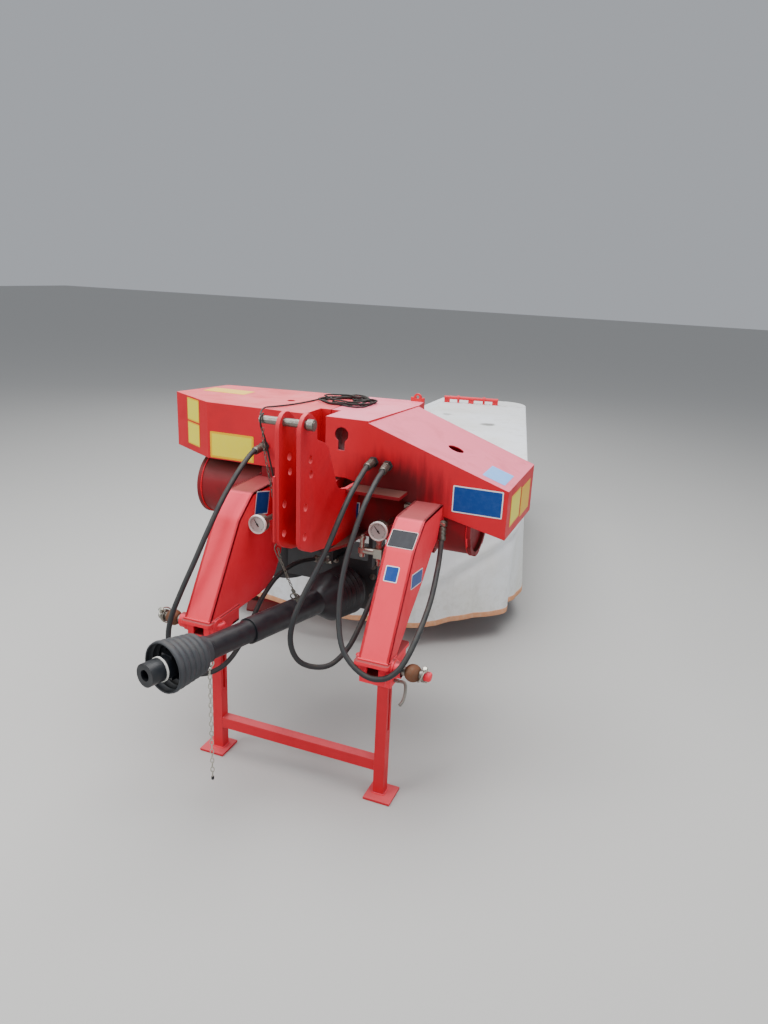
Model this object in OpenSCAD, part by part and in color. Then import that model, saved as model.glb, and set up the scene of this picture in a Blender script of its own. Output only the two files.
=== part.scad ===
// Rear-mounted disc mower conditioner, parked on its stand with the mowing unit swung in line behind the headstock.
// Millimetres. +X is the conditioner's outlet side, +Y points away from the tractor, +Z is up, the floor is Z = 0.

/* [Hitch] */
// Height of the lower hitch pins above the floor
hitch_z = 532; // [500:1:560]
// Distance between the two lower hitch balls, centre to centre
hitch_span = 872; // [820:1:900]
// Diameter of the lower hitch pins
hitch_pin_d = 28; // [22:0.1:32]
// Outer diameter of the lower hitch balls
ball_d = 56; // [50:1:64]
// Width of the lower hitch balls
ball_w = 45; // [40:1:50]
// Height of the top link pin above the lower hitch pins
mast_h = 718; // [680:1:740]
// Diameter of the top link pin
top_pin_d = 25.4; // [19:0.1:32]
// Clear gap between the two mast plates
mast_gap = 58; // [52:1:70]
// Thickness of a mast plate
mast_t = 16; // [12:1:20]

/* [Headstock] */
// Outer diameter of the cross tube
tube_d = 240; // [200:1:250]
// Wall of the cross tube
tube_wall = 12; // [8:1:20]
// Distance of the cross tube behind the hitch pins
tube_y = 560; // [550:1:580]
// Height of the cross tube's axis
tube_z = 860; // [850:1:870]
// Width of a headstock leg
leg_w = 86; // [80:1:96]
// Distance from a leg's middle to the middle of its ball
hitch_reach = 121; // [116:1:130]
// Thickness of the steel plate in legs and brackets
plate_t = 10; // [6:1:14]

/* [Covers] */
// Height of the covers' flat top above the floor
cover_top_z = 1200; // [1190:1:1230]
// Height of the covers' front face
cover_h = 214; // [200:1:218]
// Sheet thickness of the covers
sheet_t = 4; // [2:0.5:6]
// Distance of the covers' front face behind the hitch pins
cover_front_y = 430; // [425:1:435]

/* [Stand] */
// Side of the stand's square tubes
stand_tube = 38; // [30:1:42]
// Height of the cross bar's middle above the floor
stand_bar_z = 115; // [90:1:140]

/* [Drive shaft] */
// Outer diameter of the rear guard tube
guard_d = 88; // [80:1:94]
// Diameter of the splined bore in the tractor end yoke
spline_d = 35; // [30:0.5:36]

/* [Swing] */
// Diameter of the upright swing pin
swing_pin_d = 60; // [50:1:64]
// Angle at which the mowing unit is parked, counted from straight behind
park_angle = 12; // [8:1:14]
// Diameter of the lift hinge pin
lift_pin_d = 40; // [32:1:44]

/* [Mowing unit] */
// Number of cutting discs
discs = 6; // [6]
// Distance between neighbouring discs
disc_pitch = 370; // [366:1:372]
// Radius that a knife tip sweeps
knife_r = 246; // [240:1:250]
// Radius of the tine tips on the conditioner rotor
rotor_r = 235; // [225:1:240]
// Height of the canopy's upper edge
canopy_z = 800; // [790:1:810]
// Width of the canopy
canopy_w = 1500; // [1480:1:1510]
// Thickness of the canopy's cloth
cloth_t = 5; // [4:0.5:6]

/* [Hidden] */
$fn = 48;

// The model's origin lies below the middle of its box, this far from the point between the hitch balls
origin_x = -422;
origin_y = 1563;

// Gap between welded or bolted pieces that seat on each other
seat = 0.3;
// Radial clearance of a pin that turns in a bore
run_fit = 0.08;

red = [0.80, 0.16, 0.15];
dark_red = [0.62, 0.10, 0.10];
steel = [0.62, 0.62, 0.60];
black = [0.10, 0.10, 0.11];
cream = [0.88, 0.86, 0.80];
tube_r = tube_d / 2;
cover_bottom_z = cover_top_z - cover_h;
leg_x = hitch_span / 2 - hitch_reach;
stand_x = leg_x;
top_pin_y = 36;
top_pin_z = hitch_z + mast_h;
mast_out = mast_gap / 2 + mast_t;

// Cross tube's ends
tube_left = -630;
tube_right = 470;

// Drive shaft: universal joint at the gearbox and middle of the tractor end
pto_rear = [0, 480, 540];
pto_tip = [-218, -380, 571];
pto_vec = pto_tip - pto_rear;
pto_len = norm(pto_vec);

// Upright swing pin
pivot_x = -400;
pivot_y = 750;
barrel_r = 55;
barrel_low = 668;
barrel_high = 900;
lug_t = 20;

// Lift hinge, in the mowing unit's own frame
hinge_y = 560;
hinge_z = 720;
arm_w = 100;

// Cutter bar and rotor, in the mowing unit's own frame
bar_x = -200;
bar_z = 62;
first_disc_y = 560;
rotor_x = 240;
rotor_z = 400;
inner_plate_y = 605;
outer_plate_y = first_disc_y + (discs - 1) * disc_pitch + 130;

// Canopy outline, in the mowing unit's own frame
canopy_x = 240;
canopy_near = 545;
canopy_bulge = 290;
canopy_far = outer_plate_y + 150;
canopy_corner = 150;
flap_y = canopy_far - 200;
hem_z = 130;
half_w = canopy_w / 2;
bulge_r = (half_w * half_w + canopy_bulge * canopy_bulge) / (2 * canopy_bulge);
notch_half = 130;
notch_end = 960;

module on_x(x0, x1, r) { translate([x0, 0, 0]) rotate([0, 90, 0]) cylinder(h = x1 - x0, r = r); }
module on_y(y0, y1, r) { translate([0, y0, 0]) rotate([-90, 0, 0]) cylinder(h = y1 - y0, r = r); }

// A plate in the YZ plane, from a list of [y, z] points, between x0 and x1
module side_plate(points, x0, x1) {
    translate([x0, 0, 0]) rotate([90, 0, 90]) linear_extrude(x1 - x0) polygon(points);
}

module block(low, high) { translate(low) cube(high - low); }

module both_sides() { children(); mirror([1, 0, 0]) children(); }

module in_unit() { translate([pivot_x, pivot_y, 0]) rotate([0, 0, park_angle]) children(); }

module along_pto() {
    translate(pto_rear) rotate([0, acos(pto_vec[2] / pto_len), atan2(pto_vec[1], pto_vec[0])]) children();
}

module framed() { translate([-origin_x, -origin_y, 0]) children(); }

module tube_space(gap = seat) {
    translate([0, tube_y, tube_z]) on_x(tube_left - 50, tube_right + 50, tube_r + gap);
}

// Large lateral tube with a rimmed left end and a scalloped flange on the right
flange_r = tube_r + 6;
flange_t = 14;
module cross_tube() framed() color(red) translate([0, tube_y, tube_z]) {
    difference() {
        union() {
            on_x(tube_left, tube_right, tube_r);
            on_x(tube_left, tube_left + flange_t, tube_r + 6);
            difference() {
                on_x(tube_right - flange_t, tube_right, flange_r);
                for (a = [0:45:315]) rotate([a + 22.5, 0, 0]) translate([0, flange_r + 12, 0])
                    on_x(tube_right - 2 * flange_t, tube_right + flange_t, 26);
            }
        }
        on_x(tube_left + flange_t, tube_right - 2 * flange_t, tube_r - tube_wall);
        on_x(tube_right - flange_t, tube_right + 1, tube_r - tube_wall);
    }
    side_plate([[-120, 40], [-120, cover_bottom_z - seat - tube_z], [-112, cover_bottom_z - seat - tube_z], [-112, 36]],
        -345, -60);
    for (x = cover_posts) block([x - 4, -60, tube_r - 8], [x + 4, 60, cover_top_z - sheet_t - seat - tube_z]);
}
cover_posts = [-560, -220, 10];

// Two mast plates with rounded heads, a row of holes and the shelves that tie them to the cross tube
mast_head_r = 36;
mast_front_y = top_pin_y - mast_head_r;
mast_low_z = top_pin_z - 400;
shelf_top_z = 972;
mast_hole_z = [for (drop = [357, 259, 155, 111]) top_pin_z - drop];
module mast() framed() color(red) difference() {
    union() {
        both_sides() {
            side_plate([[mast_front_y, mast_low_z], [mast_front_y, top_pin_z], [mast_front_y + 2 * mast_head_r, top_pin_z],
                [mast_front_y + 74, top_pin_z - 66], [150, top_pin_z - 90], [192, shelf_top_z + 18], [400, shelf_top_z],
                [tube_y - 40, shelf_top_z - 12], [tube_y - 40, 775], [410, 765]], mast_gap / 2, mast_out);
            translate([0, top_pin_y, top_pin_z]) on_x(mast_gap / 2, mast_out, mast_head_r);
            block([mast_out - 1, 340, shelf_top_z - 12], [265, cover_front_y - 6, shelf_top_z]);
            block([mast_gap / 2, mast_front_y - 8, mast_low_z + 20], [mast_out + 10, mast_front_y + 4, top_pin_z - 130]);
        }
        side_plate([[mast_front_y, mast_low_z], [mast_front_y, mast_low_z + 12], [410, 777], [tube_y - 40, 787],
            [tube_y - 40, 775], [410, 765]], -mast_gap / 2 - 1, mast_gap / 2 + 1);
    }
    tube_space();
    translate([0, top_pin_y, top_pin_z]) on_x(-2 * mast_out, 2 * mast_out, top_pin_d / 2 + seat);
    for (z = mast_hole_z) translate([0, top_pin_y, z]) on_x(-2 * mast_out, 2 * mast_out, 13);
}

module top_pin() framed() color(steel) translate([0, top_pin_y, top_pin_z]) {
    on_x(-112, mast_out + 28, top_pin_d / 2 - 0.2);
    on_x(-mast_gap / 2 + 0.5, mast_gap / 2 - 0.5, top_pin_d / 2);
    on_x(mast_out + 6, mast_out + 26, top_pin_d / 2 + 5);
}

// Bent box leg: plate outline in the YZ plane, open to the rear and below
leg_low = 500;
leg_points = [[-32, leg_low], [-32, 578], [250, 889], [400, 892], [tube_y - 40, 900], [tube_y - 40, 760],
    [400, 585], [300, 530], [180, 505]];
socket = stand_tube + 4;
module leg() difference() {
    union() {
        difference() {
            side_plate(leg_points, leg_x - leg_w / 2, leg_x + leg_w / 2);
            translate([0, plate_t + 4, -plate_t - 4])
                side_plate(leg_points, leg_x - leg_w / 2 + plate_t, leg_x + leg_w / 2 - plate_t);
        }
        block([leg_x - leg_w / 2, stand_y - 60, leg_low - plate_t], [leg_x + leg_w / 2, stand_y + 70, leg_low + 8]);
        block([stand_x - socket / 2 - 8, stand_y - socket / 2 - 8, 395],
              [stand_x + socket / 2 + 8, stand_y + socket / 2 + 8, 490]);
        translate([0, 0, hitch_z]) on_x(leg_x + leg_w / 2 - 1, leg_x + leg_w / 2 + 18, hitch_pin_d / 2 + 10);
    }
    tube_space();
    block([stand_x - socket / 2, stand_y - socket / 2, 380], [stand_x + socket / 2, stand_y + socket / 2, 560]);
    translate([0, 0, hitch_z]) on_x(0, 2 * leg_x, hitch_pin_d / 2 + seat);
    translate([0, stand_y, stand_pin_z]) on_x(0, 2 * leg_x, stand_pin_r + seat);
}
stand_y = 86;
stand_pin_z = 440;
stand_pin_r = 6;
// How far the stand slides up in its sockets
stand_travel = 190;
module left_leg() framed() color(red) mirror([1, 0, 0]) leg();
module right_leg() framed() color(red) leg();

module hitch_pins() framed() color(steel) both_sides() translate([0, 0, hitch_z]) {
    on_x(leg_x - leg_w / 2 - 14, hitch_span / 2 + ball_w / 2 + 32, hitch_pin_d / 2);
    on_x(leg_x - leg_w / 2 - 14, leg_x - leg_w / 2 - seat, hitch_pin_d / 2 + 8);
    on_x(hitch_span / 2 + ball_w / 2 + 8, hitch_span / 2 + ball_w / 2 + 16, hitch_pin_d / 2 + 7);
}

module hitch_balls() framed() color([0.45, 0.30, 0.22]) both_sides() translate([hitch_span / 2, 0, hitch_z])
    rotate([0, 90, 0]) rotate_extrude() intersection() {
        circle(r = ball_d / 2);
        translate([hitch_pin_d / 2 + seat, -ball_w / 2]) square([ball_d, ball_w]);
    }

// Level cover over the left half, a folded sheet box with a chamfered end, open below
left_plan = [[-573, cover_front_y], [-800, 560], [-731, 827], [-122, 903], [-122, 560], [-162, 560],
    [-162, cover_front_y]];
module sheet_box(outer, inner) difference() {
    translate([0, 0, cover_bottom_z]) linear_extrude(cover_h) polygon(outer);
    translate([0, 0, cover_bottom_z - sheet_t]) linear_extrude(cover_h) polygon(inner);
}
module left_cover() framed() color(red) difference() {
    sheet_box(left_plan, [[-571, cover_front_y + sheet_t], [-795, 563], [-727, 823], [-126, 898], [-126, 564],
        [-166, 564], [-166, cover_front_y + sheet_t]]);
    translate([-330, 640, cover_top_z - 50]) cylinder(h = 100, r = 16);
    translate([port_left[0], 0, port_left[1]]) on_y(0, cover_front_y + 20, port_r + seat);
}

// Right cover: flat part beside the mast, then a wing that droops to the right
wing_x0 = 62;
wing_x1 = 590;
wing_end_top = 1020;
wing_end_low = 850;
wing_far_x = 116;
right_plan = [[-80, cover_front_y], [wing_x0 + 20, cover_front_y], [wing_far_x + 10, 835], [wing_far_x, 932],
    [-118, 903], [-118, 560], [-80, 560]];
function wing_points(t) = [
    [wing_x0 - 60, cover_front_y + t, cover_bottom_z + (t > 0 ? -sheet_t : 0)],
    [wing_x1 - t, cover_front_y + t, wing_end_low - (t > 0 ? 2 * sheet_t : 0)],
    [wing_x1 - t, 858 - t, wing_end_low - 10 - (t > 0 ? 2 * sheet_t : 0)],
    [wing_far_x - 60, 830 - t, cover_bottom_z - (t > 0 ? sheet_t : 0)],
    [wing_x0, cover_front_y + t, cover_top_z - t],
    [wing_x1 - t, cover_front_y + t, wing_end_top - t],
    [wing_x1 - t, 858 - t, wing_end_top - t],
    [wing_far_x, 830 - t, cover_top_z - t]];
module wing(t) polyhedron(wing_points(t), [[0, 1, 2], [0, 2, 3], [4, 7, 6], [4, 6, 5], [0, 4, 5], [0, 5, 1],
    [1, 5, 6], [1, 6, 2], [2, 6, 7], [2, 7, 3], [3, 7, 4], [3, 4, 0]]);
module right_cover() framed() color(red) difference() {
    union() {
        translate([0, 0, cover_bottom_z]) linear_extrude(cover_h) polygon(right_plan);
        wing(0);
    }
    translate([0, 0, cover_bottom_z - sheet_t]) linear_extrude(cover_h)
        polygon([[-76, cover_front_y + sheet_t], [wing_x0 + 8, cover_front_y + sheet_t], [wing_far_x, 830],
            [wing_far_x - 6, 926], [-114, 899], [-114, 564], [-76, 564]]);
    wing(sheet_t);
    translate([352, 603, cover_top_z - 160]) cylinder(h = 150, r = 28);
    translate([keyhole_x, 0, keyhole_z]) on_y(cover_front_y - 20, cover_front_y + 20, keyhole_r);
    block([keyhole_x - keyhole_r / 2, cover_front_y - 20, keyhole_z - 56],
          [keyhole_x + keyhole_r / 2, cover_front_y + 20, keyhole_z]);
    for (p = ports_right)
        translate([p[0], 0, p[1]]) on_y(cover_front_y - 20, cover_front_y + 20, port_r + seat);
}
// Lifting eye on the right cover's rear edge
module cover_lug() framed() color(red) difference() {
    union() {
        block([62, 916, cover_top_z + seat], [118, 924, cover_top_z + 16]);
        translate([90, 0, cover_top_z + 16]) on_y(916, 924, 16);
    }
    translate([90, 0, cover_top_z + 18]) on_y(900, 940, 7);
}
keyhole_x = -18;
keyhole_z = 1141;
keyhole_r = 26;

// Bulkhead hose fittings in the covers' front faces: [x, z]
port_r = 13;
port_left = [-325, 1062];
ports_right = [[107, 1060], [161, 1053]];
module hose_ports() framed() color(steel) for (p = concat([port_left], ports_right))
    translate([p[0], 0, p[1]]) {
        on_y(cover_front_y - 22, cover_front_y + 30, port_r);
        translate([0, cover_front_y - seat, 0]) rotate([90, 0, 0]) cylinder(h = 10, r = 19, $fn = 6);
    }

// Two pressure gauges and their valve, in front of the cross tube
gauge_r = 32;
// [x, y, z] of each dial's face
gauge_at = [[-(leg_x - 81), 220, 836], [leg_x - 129, 300, 856]];
module gauges() framed() color(steel) for (g = gauge_at) {
    translate([g[0], 0, g[2]]) {
        on_y(g[1], g[1] + 28, gauge_r);
        on_y(g[1] + 27, tube_front(g[2]), 9);
    }
}
module gauge_valve() framed() color(steel) translate([gauge_at[1][0], gauge_at[1][1] + 14, 0]) {
    translate([0, 0, valve_z]) cylinder(h = gauge_at[1][2] - gauge_r - seat - valve_z, r = 8);
    block([-15, -15, valve_z - 34], [15, 15, valve_z]);
    translate([0, 0, valve_z - 17]) {
        on_x(-62, 0, 11);
        translate([-62, 0, 0]) cylinder(h = 46, r = 9, center = true);
        on_y(0, tube_front(valve_z - 17) - gauge_at[1][1] - 14, 9);
    }
}
valve_z = 790;
function tube_front(z) = tube_y - sqrt(pow(tube_r + seat, 2) - pow(abs(z - tube_z) - 9, 2));

// Elbow blocks that take the hoses' rear ends: [x, y, z] of each hose's end
hose_end = [[-116, 548, 612], [leg_x - 71, 432, 914], [leg_x + 58, 424, 872]];
module hose_fittings() framed() color(steel) difference() {
    union() {
        translate([0, hose_end[0][1], hose_end[0][2]]) on_x(hose_end[0][0] + seat, -95 - seat, 13);
        for (e = [hose_end[1], hose_end[2]]) block(e + [-13, -13, seat], [e[0] + 13, tube_y - 60, e[2] + 12]);
    }
    tube_space();
}

// Two lugs and their cheeks behind the cross tube hold the upright swing pin
cheek_x = 80;
module lug_plan() union() {
    polygon([[pivot_x - cheek_x, tube_y], [pivot_x + cheek_x, tube_y], [pivot_x + 60, pivot_y], [pivot_x - 60, pivot_y]]);
    translate([pivot_x, pivot_y]) circle(r = 60);
}
eye_pin_r = 12;
module swing_bracket() framed() color(dark_red) {
    difference() {
        union() {
            for (z = [barrel_low - 3 - lug_t, barrel_high + 3]) translate([0, 0, z]) linear_extrude(lug_t) lug_plan();
            for (s = [-1, 1]) side_plate([[tube_y, tube_z], [tube_y + 40, barrel_low - 3 - lug_t], [680, barrel_low - 3 - lug_t],
                [680, 796], [700, 806], [700, barrel_high + 4], [tube_y, barrel_high + 4]],
                pivot_x + s * (cheek_x - plate_t) - plate_t / 2, pivot_x + s * (cheek_x - plate_t) + plate_t / 2);
            translate([pivot_x, pivot_y, barrel_low - 50]) cylinder(h = barrel_high - barrel_low + 90, r = swing_pin_d / 2);
        }
        tube_space();
    }
    swing_anchor();
}

// Lug that holds the swing cylinder's barrel
anchor_x = 250;
anchor_y = 860;
cyl_z = 760;
module swing_anchor() difference() {
    union() {
        block([anchor_x - 6, tube_y, cyl_z - 48], [anchor_x + 6, anchor_y - 45, cyl_z + 48]);
        for (z = [cyl_z - 48, cyl_z + 30]) translate([0, 0, z]) linear_extrude(18) union() {
            polygon([[anchor_x - 60, tube_y], [anchor_x + 60, tube_y], [anchor_x + 32, anchor_y], [anchor_x - 32, anchor_y]]);
            translate([anchor_x, anchor_y]) circle(r = 32);
        }
        translate([anchor_x, anchor_y, cyl_z - 60]) cylinder(h = 120, r = eye_pin_r);
    }
    tube_space();
}

// Right-angle gearbox under the cross tube, with its input boss
box_y0 = 540;
box_y1 = 720;
module input_gearbox() framed() color(black) difference() {
    union() {
        block([-95, box_y0, 440], [95, box_y1, 640]);
        translate([pto_rear[0], 0, pto_rear[2]]) on_y(box_y0 - 20, box_y0 + 1, 50);
        translate([pto_rear[0], 0, pto_rear[2]]) on_y(pto_rear[1] + cross_r + seat, box_y0, 18);
        for (s = [-1, 1]) side_plate([[tube_y - 60, 630], [tube_y + 70, 630], [tube_y + 70, tube_z], [tube_y - 60, tube_z]],
            s * 80 - 8, s * 80 + 8);
        block([pivot_x + 60, 640, 480], [-90, box_y1, 600]);
    }
    tube_space();
    translate([pivot_x, pivot_y, 0]) cylinder(h = 2000, r = 96);
}

// Parking stand: two square tubes, a cross bar and foot plates; it slides up in the legs' sockets
module stand() framed() color(red) difference() {
    union() {
        both_sides() {
            block([stand_x - stand_tube / 2, stand_y - stand_tube / 2, 8],
                  [stand_x + stand_tube / 2, stand_y + stand_tube / 2, stand_pin_z + 18]);
            block([stand_x - 40, stand_y - 55, 0], [stand_x + 55, stand_y + 45, 8]);
        }
        block([-stand_x + stand_tube / 2 - 1, stand_y - 18, stand_bar_z - 20],
              [stand_x - stand_tube / 2 + 1, stand_y + 18, stand_bar_z + 20]);
    }
    block([-2 * stand_x, stand_y - stand_pin_r - 1, stand_pin_z - stand_travel], [2 * stand_x, stand_y + stand_pin_r + 1, stand_pin_z]);
    for (z = [stand_pin_z - stand_travel, stand_pin_z])
        translate([0, stand_y, z]) on_x(-2 * stand_x, 2 * stand_x, stand_pin_r + 1);
}

module stand_pins() framed() color(steel) both_sides() translate([0, stand_y, stand_pin_z])
    on_x(stand_x - socket / 2 - 22, stand_x + socket / 2 + 26, stand_pin_r);

// Ribbed rubber guard drawn from [length, radius] pairs of its outline
module bellows(z0, z1, r0, r1, ribs, bore_r) {
    step = (z1 - z0) / (2 * ribs);
    outline = [for (i = [0:2 * ribs]) [r0 + (r1 - r0) * i / (2 * ribs) + (i % 2 == 1 ? 7 : 0), z0 + i * step]];
    rotate_extrude() polygon(concat(outline, [[bore_r, z1], [bore_r, z0]]));
}

module pto_tube() framed() color(black) along_pto() {
    bellows(4, 120, 88, 82, 5, 74);
    rotate_extrude() polygon([[74, 110], [89, 118], [guard_d / 2 + 8, 175], [guard_d / 2, 185], [guard_d / 2, 520],
        [guard_d / 2 - 4, 520], [guard_d / 2 - 4, 180], [74, 112]]);
    rotate_extrude() polygon([[17, 184], [guard_d / 2 - 3, 184], [guard_d / 2 - 3, 200], [17, 200]]);
    translate([0, 0, cross_r + seat]) cylinder(h = 180, r = 18);
}
cross_r = 22;
module pto_cross() framed() color(steel) translate(pto_rear) sphere(r = cross_r);

pto_cone_start = 640;
pto_cone_end = 800;
bellows_r = 58;
module pto_front() framed() color(black) along_pto() {
    rotate_extrude() polygon([[34, 330], [38, 330], [38, pto_cone_start], [bellows_r, pto_cone_start + 24],
        [bellows_r, pto_cone_start + 30], [34, pto_cone_start + 20]]);
    rotate_extrude() polygon([[25 + run_fit, 600], [35, 600], [35, 620], [25 + run_fit, 620]]);
    rotate_extrude() polygon([[36, 330], [guard_d / 2 - 4 - run_fit, 330], [guard_d / 2 - 4 - run_fit, 350], [36, 350]]);
    bellows(pto_cone_start + 20, pto_cone_end, bellows_r, 72, 6, 46);
}

module pto_yoke() framed() color(black) along_pto() difference() {
    union() {
        translate([0, 0, 580]) cylinder(h = 180, r = 25);
        translate([0, 0, pto_cone_end - 60]) cylinder(h = 60, r = 36);
        for (s = [-1, 1]) translate([s * 30 - 8, -22, pto_cone_end - 10]) cube([16, 44, 60]);
        translate([0, 0, pto_cone_end + 36]) cylinder(h = 92, r = 36);
    }
    translate([0, 0, pto_cone_end + 52]) cylinder(h = 90, r = spline_d / 2);
}

// Arm that swings on the upright pin and carries the lift hinge
lever_r = 170;
lever_angle = 45 - park_angle;
lever_z = cyl_z - 56;
module swing_arm() framed() color(red) in_unit() difference() {
    union() {
        translate([0, 0, barrel_low]) cylinder(h = barrel_high - barrel_low, r = barrel_r);
        block([-arm_w / 2, 0, hinge_z - 44], [arm_w / 2, hinge_y - 62, hinge_z + 66]);
        for (s = [-1, 1]) {
            side_plate([[hinge_y - 130, hinge_z - 44], [hinge_y, hinge_z - 44], [hinge_y, hinge_z + 44], [hinge_y - 130, hinge_z + 66]],
                s * 62 - 12, s * 62 + 12);
            translate([0, hinge_y, hinge_z]) on_x(s * 62 - 12, s * 62 + 12, 44);
            side_plate([[70, hinge_z + 60], [190, hinge_z + 60], [lift_eye_y + 26, lift_eye_z + 26], [lift_eye_y - 26, lift_eye_z + 26]],
                s * 42 - 6, s * 42 + 6);
        }
        translate([0, hinge_y, hinge_z]) on_x(-84, 84, lift_pin_d / 2);
        translate([0, lift_eye_y, lift_eye_z]) on_x(-58, 58, eye_pin_r);
        linear_extrude_at(lever_z, 16) union() {
            rotate(lever_angle) translate([0, -30]) square([lever_r, 60]);
            rotate(lever_angle) translate([lever_r, 0]) circle(r = 30);
        }
    }
    cylinder(h = 2000, r = swing_pin_d / 2 + run_fit);
}
module linear_extrude_at(z, h) { translate([0, 0, z]) linear_extrude(h) children(); }

// Lift cylinder: eye on the arm and eye on the mowing unit's beam, in the unit's own frame
lift_eye_y = 110;
lift_eye_z = 880;
lift_far_y = 800;
lift_far_z = 830;
lift_len = norm([lift_far_y - lift_eye_y, lift_far_z - lift_eye_z]);
lift_pitch = atan2(lift_far_z - lift_eye_z, lift_far_y - lift_eye_y);
module along_lift() in_unit() translate([0, lift_eye_y, lift_eye_z]) rotate([lift_pitch, 0, 0]) children();
module lift_barrel() framed() color(dark_red) along_lift() difference() {
    union() {
        on_y(24, 440, 34);
        on_x(-28, 28, 30);
    }
    on_y(50, 450, 21);
    on_x(-60, 60, eye_pin_r + run_fit);
}
module lift_rod() framed() color(steel) along_lift() {
    on_y(200, lift_len - 20, 20);
    translate([0, lift_len, 0]) on_x(-22, 22, 24);
}

// Swing cylinder between the headstock and the arm's lever
lever_tip = [pivot_x + lever_r * cos(45), pivot_y + lever_r * sin(45)];
cyl_vec = lever_tip - [anchor_x, anchor_y];
cyl_len = norm(cyl_vec);
module along_swing() translate([anchor_x, anchor_y, cyl_z]) rotate([0, 0, atan2(cyl_vec[1], cyl_vec[0])]) children();
module swing_barrel() framed() color(dark_red) along_swing() difference() {
    union() {
        on_x(20, 50, 26);
        on_x(44, 300, 34);
        translate([0, 0, -29]) cylinder(h = 58, r = 30);
    }
    on_x(36, 310, 21);
    translate([0, 0, -50]) cylinder(h = 100, r = eye_pin_r + run_fit);
}
module swing_rod() framed() color(steel) along_swing() {
    on_x(75, cyl_len - 20, 20);
    translate([cyl_len, 0, -24]) cylinder(h = 48, r = 28);
    translate([cyl_len, 0, lever_z + 16 + seat - cyl_z]) cylinder(h = 20, r = 12);
}

// Gearbox that swings with the arm, below the swing bracket, and the guard of the short shaft
module swivel_gearbox() framed() color(black) in_unit() difference() {
    union() {
        translate([0, 0, 440]) cylinder(h = 170, r = 85);
        translate([0, 0, 500]) on_y(60, 130, 50);
        translate([0, 0, 500]) on_y(60, 330, 36);
        block([-58, 40, 560], [58, 200, hinge_z - 44 - seat]);
    }
    translate([0, 0, 500]) on_y(150, 400, 27);
    translate([0, 0, 614]) cylinder(h = 200, r = 108);
}
module unit_shaft() framed() color(black) in_unit() translate([0, 0, 500]) {
    on_y(160, 425, 25);
    on_y(160, 200, 27 - run_fit);
    on_y(395, 432, 33);
}

// Mowing unit's frame: beam over the rotor, end plates, hinge boss, cylinder lug and gearbox
beam_w = 130;
beam_low = 600;
beam_high = 700;
module end_plate(y) translate([0, y + plate_t, 0]) rotate([90, 0, 0]) linear_extrude(plate_t)
    polygon([[sweep_x, shelf_z + seat], [sweep_x, 170], [-120, 330], [-120, 560], [-80, plate_top],
        [door_x + 25, plate_top], [door_x + 25, 600], [rotor_x + 310, 420], [rotor_x + 280, 150],
        [rotor_x + 110, shelf_z + seat]]);
// Edge of the knives' sweep, with a running gap, and top of the shelves that carry the end plates
sweep_x = bar_x + knife_r + 12;
shelf_z = 100;
bar_top = bar_z + 28;
rail_z = 655;
module mower_frame() framed() color(red) in_unit() {
    difference() {
        union() {
            block([-beam_w / 2, hinge_y + 85, beam_low], [beam_w / 2, outer_plate_y + 10, beam_high]);
            side_plate([[hinge_y, hinge_z - 36], [hinge_y + 90, beam_low + 4], [hinge_y + 90, beam_high - 20], [hinge_y, hinge_z + 36]], -46, 46);
            translate([0, hinge_y, hinge_z]) on_x(-46, 46, 40);
            for (s = [-1, 1]) side_plate([[lift_far_y - 60, beam_high - 1], [lift_far_y + 60, beam_high - 1], [lift_far_y + 28, lift_far_z + 20],
                [lift_far_y - 28, lift_far_z + 20]], s * 32 - 6, s * 32 + 6);
            translate([0, lift_far_y, lift_far_z]) both_sides() on_x(37, 46, 14);
            end_plate(inner_plate_y + 40);
            end_plate(outer_plate_y);
            translate([door_x, 0, rail_z]) on_y(inner_plate_y + 41, outer_plate_y + 5, 20);
        }
        block([-beam_w / 2 + plate_t, hinge_y + 100, beam_low + plate_t], [beam_w / 2 - plate_t, outer_plate_y + 20, beam_high - plate_t]);
        translate([0, hinge_y, hinge_z]) on_x(-100, 100, lift_pin_d / 2 + run_fit);
        translate([rotor_x, 0, rotor_z]) on_y(0, 3000, rotor_shaft_r + run_fit);
        translate([rotor_x, 0, rotor_z]) on_y(inner_plate_y + 50, outer_plate_y, rotor_r + 12);
    }
    translate([0, 0, 500]) difference() {
        on_y(470, inner_plate_y + 41, 70);
        on_y(400, 480, 30);
    }
}

// Cutter bar housing with a skid under each disc
module cutterbar() framed() color(dark_red) in_unit() {
    block([bar_x - 95, first_disc_y - 80, bar_z - 20], [bar_x + 120, outer_plate_y + 10, bar_top]);
    for (y = [inner_plate_y + 40, outer_plate_y])
        block([bar_x + 119, y - 20, bar_z], [rotor_x + 120, y + plate_t + 20, shelf_z]);
    for (i = [0:discs - 1]) translate([bar_x, first_disc_y + i * disc_pitch, 0]) {
        translate([0, 0, bar_z]) cylinder(h = disc_low - bar_z - seat, r = 60);
        skid();
    }
}
module skid() {
    rotate([90, 0, 90]) translate([0, 0, -150]) linear_extrude(290)
        polygon([[-100, 0], [120, 0], [130, 12], [100, bar_z - 10], [-80, bar_z - 10], [-110, 12]]);
}

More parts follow.
